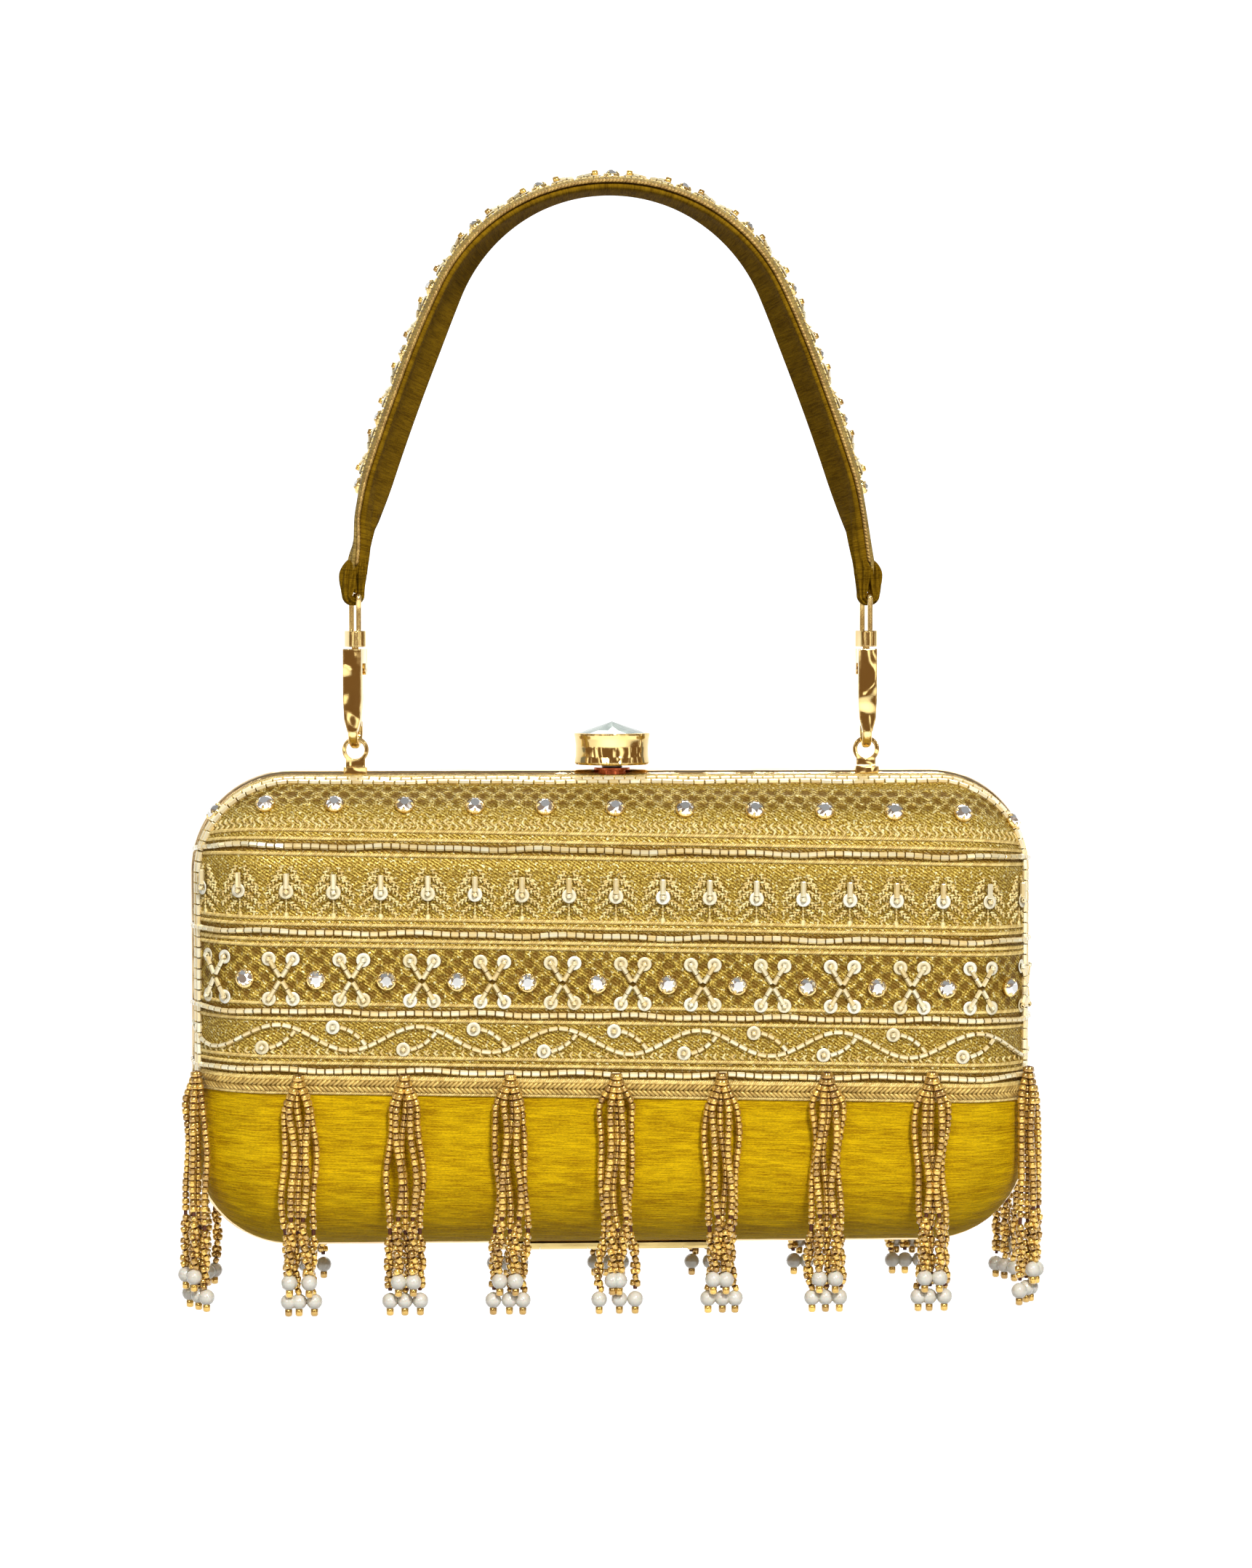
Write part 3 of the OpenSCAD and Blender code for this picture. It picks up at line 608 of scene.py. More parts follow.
def on_cover(u, v, lift):
    """Points and outward normals on the front cover for points of the flat cloth."""
    u, v = np.broadcast_arrays(np.asarray(u, float), np.asarray(v, float))
    cu, cv = np.clip(u, -STRAIGHT_W, STRAIGHT_W), np.clip(v, -STRAIGHT_H, STRAIGHT_H)
    r = np.hypot(u - cu, v - cv)
    nu, nv = (u - cu) / np.maximum(r, TINY), (v - cv) / np.maximum(r, TINY)
    arc = np.clip((r - DOME_P) / SHOULDER_R, 0, math.pi / 2)
    down = np.maximum(r - DOME_P - QUARTER, 0)
    p = np.minimum(r, DOME_P) + SHOULDER_R * np.sin(arc)
    q = DOME_Q + SHOULDER_R * np.cos(arc) - down
    normal = np.stack([nu * np.sin(arc), -np.cos(arc), nv * np.sin(arc)], -1)
    point = np.stack([cu + nu * p, PARTING_Y - q, MID_Z + cv + nv * p], -1)
    return point + np.asarray(lift)[..., None] * normal, normal


def unit(vectors):
    return vectors / np.maximum(np.linalg.norm(vectors, axis=-1, keepdims=True), 1e-12)


def travelled(points):
    """How far along a line of points each one lies."""
    return np.concatenate([[0], np.cumsum(np.linalg.norm(np.diff(points, axis=0), axis=1))])


def cover_frames(u, v, angle, lift, size):
    """Origins and frames on the cover: x along the angle in the cloth, z out of it."""
    u, v, angle, lift = np.broadcast_arrays(*[np.asarray(a, float) for a in (u, v, angle, lift)])
    probe = 0.05
    du, dv = probe * np.cos(angle), probe * np.sin(angle)
    origin, normal = on_cover(u, v, lift)
    along = unit(on_cover(u + du, v + dv, lift)[0] - on_cover(u - du, v - dv, lift)[0])
    across = unit(np.cross(normal, along))
    size = np.broadcast_to(np.asarray(size, float), (*u.shape, 3))
    frames = np.stack([along, across, normal], -1) * size[:, None, :]
    return origin, frames


def reach_of(u, v):
    """How far a point of the flat cloth lies outside the straight part."""
    return np.hypot(np.maximum(np.abs(u) - STRAIGHT_W, 0), np.maximum(np.abs(v) - STRAIGHT_H, 0))


def spaced(u, v, pitch, lift=0.0):
    """Evenly spaced places on a line in the cloth: u, v and the line's angle."""
    points, _ = on_cover(u, v, lift)
    gone = travelled(points)
    many = max(int(round(gone[-1] / pitch)), 1)
    want = (np.arange(many) + 0.5) * gone[-1] / many
    su, sv = np.interp(want, gone, u), np.interp(want, gone, v)
    slope_u = np.interp(want, gone, np.gradient(u))
    slope_v = np.interp(want, gone, np.gradient(v))
    return su, sv, np.arctan2(slope_v, slope_u)


def row_line(w):
    """A row's line across the cloth, from side wall to side wall."""
    u = np.linspace(-FAR_U, FAR_U, 1501)
    v = w + SLOPE * u
    keep = reach_of(u, v) <= ROW_REACH
    return u[keep], v[keep]


def rim_line(reach, lowest):
    """A line that follows the rim over the top, between the two lower ends."""
    corner = np.linspace(math.pi / 2, 0, 80)
    v_side = np.linspace(STRAIGHT_H, lowest, 200)
    u = np.concatenate([np.linspace(0, STRAIGHT_W, 160), STRAIGHT_W + reach * np.cos(corner),
                        np.full(200, STRAIGHT_W + reach)])
    v = np.concatenate([np.full(160, STRAIGHT_H + reach), STRAIGHT_H + reach * np.sin(corner),
                        v_side])
    return np.concatenate([-u[:0:-1], u]), np.concatenate([v[:0:-1], v])


def rope(piece, u, v, slot, width=0.95, lift=0.2):
    """Twisted rope: slanting grains along a line."""
    su, sv, angle = spaced(u, v, width * 0.62, lift)
    slant = angle + math.radians(38)
    size = (width * 1.45, width * 0.72, width * 0.8)
    piece.stamp(GRAIN_SHAPE, *cover_frames(su, sv, slant, lift, size), slot=slot)


def bugle_row(piece, u, v, length=1.9, width=1.35, lift=0.75):
    """Bugles end to end along a line that wanders a little, as sewn by hand."""
    phase = RANDOM.uniform(0, 6.28, 2)
    v = v + 0.22 * np.sin(u / 6.1 + phase[0]) + 0.15 * np.sin(u / 2.9 + phase[1])
    su, sv, angle = spaced(u, v, length * 1.15, lift)
    size = np.array([length, width, width]) * RANDOM.uniform(0.94, 1.05, (len(su), 1))
    piece.stamp(BUGLE_SHAPE, *cover_frames(su, sv, angle, lift, size), slot=1)


def relief(u, w):
    """Low woven relief of the brocade, in millimetres."""
    def cells(x, y, px, py):
        found = None
        for shift in (0.0, 0.5):
            a = (np.mod(x / px + shift, 1) - 0.5) * px
            b = (np.mod(y / py + shift, 1) - 0.5) * py
            away = np.hypot(a, b)
            found = away if found is None else np.minimum(found, away)
        return found
    comb = np.exp(-((cells(u, w, 4.9, 6.4) - 1.75) / 0.5) ** 2) * (w > 47)
    scales = np.exp(-((cells(u, w, 4.4, 4.6) - 1.6) / 0.5) ** 2) * (w > 2) * (w < 17)
    return 0.22 * comb + 0.16 * scales


def drawn_to_rim(u, v):
    """Cloth past the rim drawn back onto it, and which points were inside."""
    reach = reach_of(u, v)
    cu, cv = np.clip(u, -STRAIGHT_W, STRAIGHT_W), np.clip(v, -STRAIGHT_H, STRAIGHT_H)
    inside = reach <= CLOTH_REACH
    pull = np.where(inside, 1.0, CLOTH_REACH / np.maximum(reach, TINY))
    return cu + (u - cu) * pull, cv + (v - cv) * pull, inside


def sheet_piece(name, material, points, cloth, inside):
    """The faces of a grid of points that reach inside the rim, as a piece."""
    faces = grid_faces(*inside.shape)
    faces = faces[inside.ravel()[faces].any(axis=1)]
    used = np.unique(faces)
    remap = np.zeros(inside.size, int)
    remap[used] = np.arange(len(used))
    piece = Piece(name, [material])
    piece.add(points.reshape(-1, 3)[used], [(remap[faces], 0, True)], None,
              np.stack(cloth, -1).reshape(-1, 3)[used])
    return piece


def cloth_sheet(name, material, above):
    """The cover's cloth on one side of the line under the braid, as one curved sheet."""
    u = np.arange(-CLOTH_U, CLOTH_U + CLOTH_STEP, CLOTH_STEP)
    if above:
        w = np.arange(CUT_W, CLOTH_TOP + CLOTH_STEP, CLOTH_STEP)
    else:
        w = np.arange(CUT_W, CLOTH_FOOT - CLOTH_STEP, -CLOTH_STEP)[::-1]
    uu, ww = np.meshgrid(u, w)
    uu, vv, inside = drawn_to_rim(uu, ww + SLOPE * uu)
    height = relief(uu, ww) if above else 0.06 * np.sin(ww * 2.1 + 0.4 * uu)
    points, _ = on_cover(uu, vv, height)
    return sheet_piece(name, material, points, (uu, vv - SLOPE * uu, np.zeros_like(uu)), inside)


def fern():
    """Grains and the bud of one fern, as (x, y, angle, length, width)."""
    grains = []
    for k in range(5):
        grains.append((0.0, -1.9 - 0.75 * k, math.pi / 2, 0.95, 0.6))
    branches = [(5.3, 2.4), (3.5, 3.9), (1.6, 4.7), (-0.5, 4.7), (-2.4, 3.4)]
    for side in (-1, 1):
        for start, reach in branches:
            many = int(round(reach / 0.95))
            for j in range(many):
                t = (j + 1) / many
                x = side * (0.5 + reach * t * 0.92)
                y = start - 0.9 * t - 1.5 * t * t
                tilt = -side * math.radians(20 + 34 * t)
                grains.append((x, y + 0.30, tilt + side * 0.5, 1.3, 0.65))
                grains.append((x, y - 0.30, tilt - side * 0.8, 1.1, 0.6))
    grains.append((0.0, -5.2, math.pi / 2, 2.0, 1.6))
    return np.array(grains)


FERN_GRAINS, FERN_STRETCH = fern(), 1.14
SETTING_SIZE = (1.14, 1.14, 1)
STONE_PITCH = 17.2
UPPER_W, MIDDLE_W, MIDDLE_SHIFT = 51.4, 8.0, -4.5
X_SHIFT, X_REACH_U, X_REACH_V = 4.1, 2.9, 4.9
VINE_W, VINE_RISE, VINE_PERIOD, VINE_SHIFT, VINE_END = -6.3, 3.0, 34.4, 22.4, 112
ROPE_ROWS = (44.6, 42.4, 38.6, 23.0, 21.4, 17.7, 16.3, 2.0, -1.8, -11.0, -12.6, -16.0)
# Heights, spacing and lean of the rows of leaf stitches
LEAF_ROWS = ((47.2, 1.9, 0.9), (45.8, 1.9, -0.9), (-9.8, 2.2, 0.8))
# How far outside the straight part the lines along the rim lie, and their lower ends
RIM_BUGLES, RIM_ROPE, RIM_FOOT = (26.4, 28.1), 31.0, -18.0


def on_row(u, offset, w):
    """Places at offsets from a row, which runs slightly downhill."""
    u = np.asarray(u, float)
    return u, w + np.asarray(offset, float) + SLOPE * u


def embroidery(side):
    """Beads, bugles, sequins and thread work of one half, in three pieces."""
    turned = side == "back"
    ropes = Piece(f"{side}_rope_lines", [ROPE])
    for w in ROPE_ROWS:
        rope(ropes, *row_line(w), slot=0)
    rope(ropes, *rim_line(RIM_ROPE, RIM_FOOT), slot=0, width=1.2)
    ropes.build(f"{side}_half", "gold_braid", turned=turned)

    beads = Piece(f"{side}_bead_work", [SEED, BUGLE, SEQUIN])
    for w in BEAD_ROWS:
        bugle_row(beads, *row_line(w))
    for reach in RIM_BUGLES:
        bugle_row(beads, *rim_line(reach, RIM_FOOT), length=2.3, width=1.25, lift=0.6)

    def bugles(x, y, w, angle, length, width, lift=0.65):
        u, v = on_row(x, y, w)
        size = np.stack([np.full(len(u), length), np.full(len(u), width),
                         np.full(len(u), width)], 1)
        beads.stamp(BUGLE_SHAPE, *cover_frames(u, v, angle, lift, size), slot=1)

    def sequins(x, y, w, size=3.5, lift=0.3):
        u, v = on_row(x, y, w)
        turn = RANDOM.uniform(0, 6.28, len(u))
        beads.stamp(SEQUIN_SHAPE, *cover_frames(u, v, turn, lift, (size, size, size)), slot=2,
                    low=0.0, high=1.0)
        beads.stamp(SEED_SHAPE, *cover_frames(u, v, turn, lift + 0.75, (1.1, 1.3, 1.3)), slot=1)

    ferns = np.arange(-9, 10) * FERN_PITCH
    sequins(ferns, 0.0, FERN_W, 3.6, 0.85)
    bugles(ferns, 2.6, FERN_W, math.pi / 2, 3.7, 1.4, 1.3)

    # A cross of bugles with a sequin on each tip, between every two stones
    xs = X_SHIFT + STONE_PITCH * np.arange(-6, 7)
    for sx in (-1, 1):
        for sy in (-1, 1):
            arm = math.atan2(sy * 4.7, sx * X_REACH_U)
            sequins(xs + sx * X_REACH_U, sy * X_REACH_V, MIDDLE_W)
            for part in (0.30, 0.72):
                bugles(xs + sx * X_REACH_U * part, sy * X_REACH_V * part, MIDDLE_W, arm,
                       2.2, 1.2, 0.85)

    # The vine: a wave of bugles
    vine_u = np.linspace(-VINE_END, VINE_END, 1600)
    vine_v = VINE_W + VINE_RISE * np.sin(2 * math.pi * (vine_u + VINE_SHIFT) / VINE_PERIOD)
    su, sv, angle = spaced(vine_u, vine_v + SLOPE * vine_u, 2.5)
    beads.stamp(BUGLE_SHAPE, *cover_frames(su, sv, angle, 0.62, (2.1, 1.15, 1.15)), slot=1)
    # A sequin above each dip and below each crest, with a tendril that joins the vine
    k = np.arange(-3, 4)
    for first, up in ((-0.5, 1.0), (-17.7, -1.0)):
        at = first + VINE_PERIOD * k
        at = at[np.abs(at) < 98]
        sequins(at, 2.6 * up, VINE_W)
        for part in (0.25, 0.5, 0.75, 1.0):
            lean = -up * (0.15 + 0.75 * part)
            bugles(at + 0.9 + 6.6 * part, up * (2.6 - 3.6 * part ** 2), VINE_W, lean, 1.55, 1.1)
    beads.build(f"{side}_half", "bead_strands", turned=turned)

    work = Piece(f"{side}_thread_work", [FERN])
    for centre in ferns:
        u, v = on_row(centre + FERN_GRAINS[:, 0], FERN_STRETCH * FERN_GRAINS[:, 1], FERN_W)
        size = np.stack([FERN_GRAINS[:, 3], FERN_GRAINS[:, 4], np.full(len(u), 0.8)], 1)
        tilt = FERN_GRAINS[:, 2] + RANDOM.uniform(-0.25, 0.25, len(u))
        work.stamp(GRAIN_SHAPE, *cover_frames(u, v, tilt, 0.2, size), slot=0, low=0.1, high=1.0)
    # Leaf stitches above the second bead row and along the vine
    for w, pitch, lean in LEAF_ROWS:
        u, v = row_line(w)
        su, sv, angle = spaced(u, v, pitch)
        for flip in (-1, 1):
            tilt = angle + flip * lean + RANDOM.uniform(-0.3, 0.3, len(su))
            work.stamp(GRAIN_SHAPE, *cover_frames(su, sv + 0.3 * flip, tilt, 0.15,
                                                  (1.5, 0.7, 0.6)), slot=0, low=0.0, high=0.8)
    work.build(f"{side}_half", "brocade", turned=turned)


def set_stones(side):
    """Two rows of stones. The front turned about the upright axis makes the back."""
    piece = Piece(f"{side}_set_stones", [STONE, GOLD])
    upper = STONE_PITCH * np.arange(-6, 7)
    middle = STONE_PITCH * np.arange(-5, 7) + MIDDLE_SHIFT
    u = np.concatenate([upper, middle])
    w = np.concatenate([np.full(len(upper), UPPER_W), np.full(len(middle), MIDDLE_W)])
    turn = RANDOM.uniform(0, 0.8, len(u))
    piece.stamp(SETTING_SHAPE, *cover_frames(u, w + SLOPE * u, turn, 0.12, SETTING_SIZE),
                low=0.3, high=1.0)
    piece.build(f"{side}_half", "set_stones", [f"{side}_stones"], side == "back")


def braid(side):
    """Flat braid of slanting plaits with a cord on each edge."""
    piece = Piece(f"{side}_plaited_braid", [BRAID, ROPE])
    for offset, lean in ((0.75, 0.62), (-0.75, -0.62)):
        u, v = row_line(BRAID_W + offset)
        su, sv, angle = spaced(u, v, 1.15)
        piece.stamp(GRAIN_SHAPE, *cover_frames(su, sv, angle + lean, 0.5, (2.7, 1.05, 0.95)),
                    slot=0)
    for offset in (-1.75, 1.75):
        u, v = row_line(BRAID_W + offset)
        rope(piece, u, v, 1, 0.85, 0.35)
    piece.build(f"{side}_half", "gold_braid", [f"{side}_braid"], side == "back")


def covers(side):
    turned = side == "back"
    body = f"{side}_half"
    top = cloth_sheet(f"{side}_brocade_cloth", BROCADE, True)
    cloth = top.build(body, "brocade", [f"{side}_cover"], turned)
    low = cloth_sheet(f"{side}_raw_silk_cloth", RAW_SILK, False)
    silk = low.build(body, "raw_silk", [f"{side}_cover"], turned)


def lining(side):
    """Satin glued inside the shell, with faint puckers near the rim."""
    u = np.arange(-CLOTH_U, CLOTH_U + LINING_STEP, LINING_STEP)
    v = np.arange(-LINING_FOOT, LINING_FOOT + LINING_STEP, LINING_STEP)
    uu, vv, inside = drawn_to_rim(*np.meshgrid(u, v))
    pucker = np.clip((reach_of(uu, vv) - 20) / 18, 0, 1)
    height = 0.12 * pucker * np.sin(0.9 * uu) * np.sin(0.9 * vv + 0.6)
    points, _ = on_cover(uu, vv, height - LINING_UNDER)
    # The inner face is the one that shows, so its faces are turned over
    flat = (uu, vv, np.zeros_like(uu))
    piece = sheet_piece(f"{side}_satin_lining", SATIN, points, flat, inside)
    piece.faces = [(faces[:, ::-1], slot, smooth) for faces, slot, smooth in piece.faces]
    obj = piece.build(f"{side}_half", "satin_lining", [f"{side}_lining"], side == "back")


# ---------------------------------------------------------------- tassels
STRAND_STEP, ROW_STEP = 2.15, 2.25
TASSEL_LEN, TASSEL_PITCH, TASSEL_DROP = 54.0, 25.9, 75.0
TASSEL_STAND, SIDE_TURN = 2.4, math.radians(58)
STRAND_TOP, FRONT_TASSELS, BACK_ROW_SHORTER = -1.6, 3, 5
BEAD_PITCH, LOOSE_BEAD, WOUND_BEAD = 1.6, (1.42, 1.85, 1.85), (1.42, 1.6, 1.6)
PEARL_SIZE, END_BEAD_SIZE, END_BEAD_DROP = 4.0, 1.9, 2.6
WOUND_FROM, WIND_TURN, WIND_R = 168, 11, 0.62


def tassel_place(index):
    """Anchor and turn about Z of a front tassel. Index -4 and 4 hang on the side walls."""
    z = MID_Z + BAG_H / 2 - TASSEL_DROP
    if abs(index) <= FRONT_TASSELS:
        return np.array([index * TASSEL_PITCH, PARTING_Y - HALF_DEPTH - TASSEL_STAND, z]), 0.0
    turn = math.copysign(SIDE_TURN, index)
    x = math.copysign(STRAIGHT_W + DOME_P + SHOULDER_R * math.sin(SIDE_TURN), index)
    q = DOME_Q + SHOULDER_R * math.cos(SIDE_TURN)
    return np.array([x + TASSEL_STAND * math.sin(turn),
                     PARTING_Y - q - TASSEL_STAND * math.cos(turn), z]), turn


def strand_path(x, y, length, phase):
    """A strand that leaves its anchor close to the others and hangs a little wavy."""
    t = np.linspace(STRAND_TOP, length, 240)
    spread = smooth((t - STRAND_TOP) / 9)
    drift = x * (0.12 + 0.70 * spread)
    wave = (0.55 * np.sin(t / 7.3 + phase) + 0.35 * np.sin(t / 3.4 + 3 * phase)) * spread
    wave = wave + 0.9 * (np.maximum(t, 0) / length) ** 2 * np.sin(phase * 3)
    depth = y * (0.35 + 0.65 * spread) + 0.2 * np.sin(t / 5.0 + 2 * phase) * spread
    return np.stack([drift + wave, depth, -t], 1)


def beads_along(piece, path, size, stop):
    """Seed beads end to end along a path, up to a distance short of its end."""
    gone = travelled(path)
    many = int((gone[-1] - stop) / BEAD_PITCH)
    want = (np.arange(many) + 0.5) * BEAD_PITCH
    at = np.stack([np.interp(want, gone, path[:, k]) for k in range(3)], 1)
    ahead = np.stack([np.interp(want + 0.2, gone, path[:, k]) for k in range(3)], 1)
    along = unit(ahead - at)
    turn = RANDOM.uniform(0, 1.5, many)
    side = unit(np.cross(along, [0, 1, 0]))
    up = np.cross(along, side)
    across = side * np.cos(turn)[:, None] + up * np.sin(turn)[:, None]
    over = np.cross(along, across)
    scale = np.asarray(size) * RANDOM.uniform(0.93, 1.06, (many, 1))
    frames = np.stack([along, across, over], -1) * scale[:, None, :]
    piece.stamp(SEED_SHAPE, at, frames, slot=0)


def tassel(side, number):
    """Five strands in two rows. Each winds double in its lower part, above a pearl."""
    anchor, turn = tassel_place(number - 5)
    piece = Piece(f"{side}_bead_tassel_{number}", [SEED, PEARL, THREAD_AND_PAINTED_SHADE])
    local = Piece("local", [])
    phases = RANDOM.uniform(0, 6.28, 5)
    plan = [(step * STRAND_STEP, 0.0, TASSEL_LEN) for step in (-2, 0, 2)]
    plan += [(step * STRAND_STEP, -ROW_STEP, TASSEL_LEN - BACK_ROW_SHORTER) for step in (-1, 1)]
    for (x, y, length), phase in zip(plan, phases):
        path = strand_path(x, y, length, phase)
        turns = np.linspace(0, WIND_TURN, len(path) - WOUND_FROM)
        wind = np.stack([np.cos(turns + phase), np.sin(turns + phase), 0 * turns], 1)
        wind = WIND_R * wind * smooth(np.arange(len(wind)) / 12)[:, None]
        beads_along(local, path[:WOUND_FROM + 1], LOOSE_BEAD, 0.0)
        for way in (-1, 1):
            beads_along(local, path[WOUND_FROM:] + way * wind, WOUND_BEAD, 1.9)
        end = path[-1]
        down = np.array([[[0, 1, 0], [0, 0, 1], [-1, 0, 0]]], float)
        local.stamp(BALL_SHAPE, end[None], down * PEARL_SIZE, slot=1)
        local.stamp(SEED_SHAPE, end[None] + [0, 0, -END_BEAD_DROP], down * END_BEAD_SIZE, slot=0)
        # The strand thread that shows between the beads, made thick and dark red-brown as painted
        # shade between beads and strands
        rings = path[::12]
        circle = np.linspace(0, 2 * math.pi, 5)[:4]
        tube = rings[:, None, :] + 0.5 * np.stack([np.cos(circle), np.sin(circle),
                                                    np.zeros(4)], 1)[None]
        local.add(tube.reshape(-1, 3), [(grid_faces(len(rings), 4, False, True), 2, True)],
                  np.full(len(rings) * 4, 0.1))
    c, s = math.cos(turn), math.sin(turn)
    spin = np.array([[c, -s, 0], [s, c, 0], [0, 0, 1]])
    points = np.concatenate(local.points) @ spin.T + anchor
    if side == "back":
        points = points * [1, -1, 1] + [0, 2 * PARTING_Y, 0]
    flipped = [(f[:, ::-1] if side == "back" else f, k, m) for f, k, m in local.faces]
    piece.add(points, flipped, np.concatenate(local.tints))
    piece.build(f"{side}_tassel_{number}", "bead_strands", [f"{side}_tassel_{number}"])


# ---------------------------------------------------------------- the strap
STRAP_W, LINING_T, FACE_T, GATHER_LEN, GATHER_W = 18.0, 1.9, 1.4, 26.0, 4.2
STRAP_CUP = 2.4
ARCH_R, LUG_X = 44.0, 64.0
LUG_Z = 5.0 - STRAP_DROP
EYE_TOP_Z = LUG_Z + 38.55
STRAP_END_Z = EYE_TOP_Z + 5.2
EYE_TURN = {"left": math.radians(18), "right": math.radians(13)}
ARCH_TURN, ARCH_PULL, END_PULL = math.radians(66), 25, 8.0
LEG_TURN = {"left": math.radians(17), "right": math.radians(13)}
EYE_BEND = 15
CROWN = 0.1
STRAP_PITCH, STRAP_MARGIN, EDGE_ROW, CROSS_X, CROSS_Y = 17.3, 19.0, 6.4, 4.0, 4.4


def strap_route():
    """Points of the strap from its left end over the top to its right end."""
    arch = np.linspace(0, ARCH_TURN, 90)
    x, z = ARCH_R * np.sin(arch), LINING_T - ARCH_R + ARCH_R * np.cos(arch)
    arch_points = np.stack([x, z], 1)[:-1]
    start = np.array([ARCH_R * math.sin(ARCH_TURN),
                      LINING_T - ARCH_R + ARCH_R * math.cos(ARCH_TURN)])
    end = np.array([LUG_X, STRAP_END_Z])
    first = start + ARCH_PULL * np.array([math.cos(ARCH_TURN), -math.sin(ARCH_TURN)])
    second = end + np.array([0, END_PULL])
    t = np.linspace(0, 1, 110)[:, None]
    leg = ((1 - t) ** 3 * start + 3 * (1 - t) ** 2 * t * first + 3 * (1 - t) * t * t * second
           + t ** 3 * end)
    right = np.concatenate([arch_points, leg])
    left = right[:0:-1] * [-1, 1]
    return np.concatenate([left, right])


ROUTE = strap_route()
ROUTE_GONE = travelled(ROUTE)
STRAP_LEN = ROUTE_GONE[-1]
ROUTE_DIR = unit(np.gradient(ROUTE, axis=0))


def strap_twist(s):
    """Turn of the band about its own line. Both legs show some of their lining."""
    t = s / STRAP_LEN
    legs = (LEG_TURN["left"] * smooth((0.5 - t) / 0.28)
            + LEG_TURN["right"] * smooth((t - 0.5) / 0.28))
    left_end = smooth((EYE_BEND - s) / EYE_BEND)
    right_end = smooth((EYE_BEND - (STRAP_LEN - s)) / EYE_BEND)
    return (-legs * (1 - left_end) * (1 - right_end) + left_end * EYE_TURN["left"]
            - right_end * EYE_TURN["right"])


def strap_half(s):
    """Half the band's width, which gathers in towards both ends."""
    near = np.minimum(s, STRAP_LEN - s)
    return (GATHER_W + (STRAP_W - GATHER_W) * smooth(near / GATHER_LEN)) / 2


def strap_cup(s, a):
    """How far the soft band bulges outwards between its edges on the two legs."""
    near = np.minimum(s, STRAP_LEN - s)
    legs = smooth(np.abs(s / STRAP_LEN - 0.5) / 0.25) * smooth((near - 6) / 22)
    return STRAP_CUP * legs * (1 - (a / strap_half(s)) ** 2)


def strap_axes(s):
    """Point, direction, width and outward axes of the band at a distance along it."""
    point = np.stack([np.interp(s, ROUTE_GONE, ROUTE[:, 0]), np.zeros_like(s),
                      np.interp(s, ROUTE_GONE, ROUTE[:, 1])], -1)
    ahead = unit(np.stack([np.interp(s, ROUTE_GONE, ROUTE_DIR[:, 0]), np.zeros_like(s),
                           np.interp(s, ROUTE_GONE, ROUTE_DIR[:, 1])], -1))
    out = np.stack([-ahead[..., 2], np.zeros_like(s), ahead[..., 0]], -1)
    wide = np.broadcast_to([0.0, 1.0, 0.0], point.shape)
    phi = strap_twist(s)[..., None]
    turned_wide = wide * np.cos(phi) + np.cross(ahead, wide) * np.sin(phi)
    turned_out = out * np.cos(phi) + np.cross(ahead, out) * np.sin(phi)
    return point, ahead, turned_wide, turned_out


def band_piece(name, material, low, high):
    """A closed soft band between two distances from the strap's line."""
    s = np.linspace(0, STRAP_LEN, 420)
    point, _, wide, out = strap_axes(s)
    half = strap_half(s)
    side = np.linspace(-1, 1, 23)
    middle, thick = (low + high) / 2, (high - low) / 2
    edge = np.clip(1 - np.abs(side) ** 6, 0.0, 1) ** 0.5
    top = np.stack([side, middle + thick * edge], 1)
    bottom = np.stack([side[-2:0:-1], middle - thick * edge[-2:0:-1]], 1)
    section = np.concatenate([top, bottom])
    near = np.minimum(s, STRAP_LEN - s)
    gathered = smooth((GATHER_LEN - near) / GATHER_LEN)[:, None]
    a = section[None, :, 0] * half[:, None]
    fold = 0.55 * gathered * np.cos(section[None, :, 0] * 7.5 + 0.4 * np.sin(s * 0.25)[:, None])
    puff = CROWN * (1 - section[None, :, 0] ** 2) * np.sign(section[None, :, 1] - middle)
    bunch = 0.5 * gathered * (section[None, :, 1] < middle) * (low < 0)
    n = section[None, :, 1] + fold - bunch + puff * (1 - gathered) + strap_cup(s[:, None], a)
    points = point[:, None] + a[..., None] * wide[:, None] + n[..., None] * out[:, None]
    many = len(section)
    cloth = np.stack([a, np.broadcast_to(s[:, None], a.shape), np.zeros_like(a)], -1)
    piece = Piece(name, [material])
    piece.add(points.reshape(-1, 3), closed_tube(len(s), many), None, cloth.reshape(-1, 3))
    return piece


def strap_frames(s, a, angle, lift, size):
    """Frames on the strap's outer face: x along the angle from its length."""
    s, a, angle, lift = np.broadcast_arrays(*[np.asarray(x, float) for x in (s, a, angle, lift)])
    point, ahead, wide, out = strap_axes(s)
    lift = lift + strap_cup(s, a)
    origin = point + a[:, None] * wide + lift[:, None] * out
    along = ahead * np.cos(angle)[:, None] + wide * np.sin(angle)[:, None]
    across = np.cross(out, along)
    size = np.broadcast_to(np.asarray(size, float), (len(s), 3))
    return origin, np.stack([along, across, out], -1) * size[:, None, :]


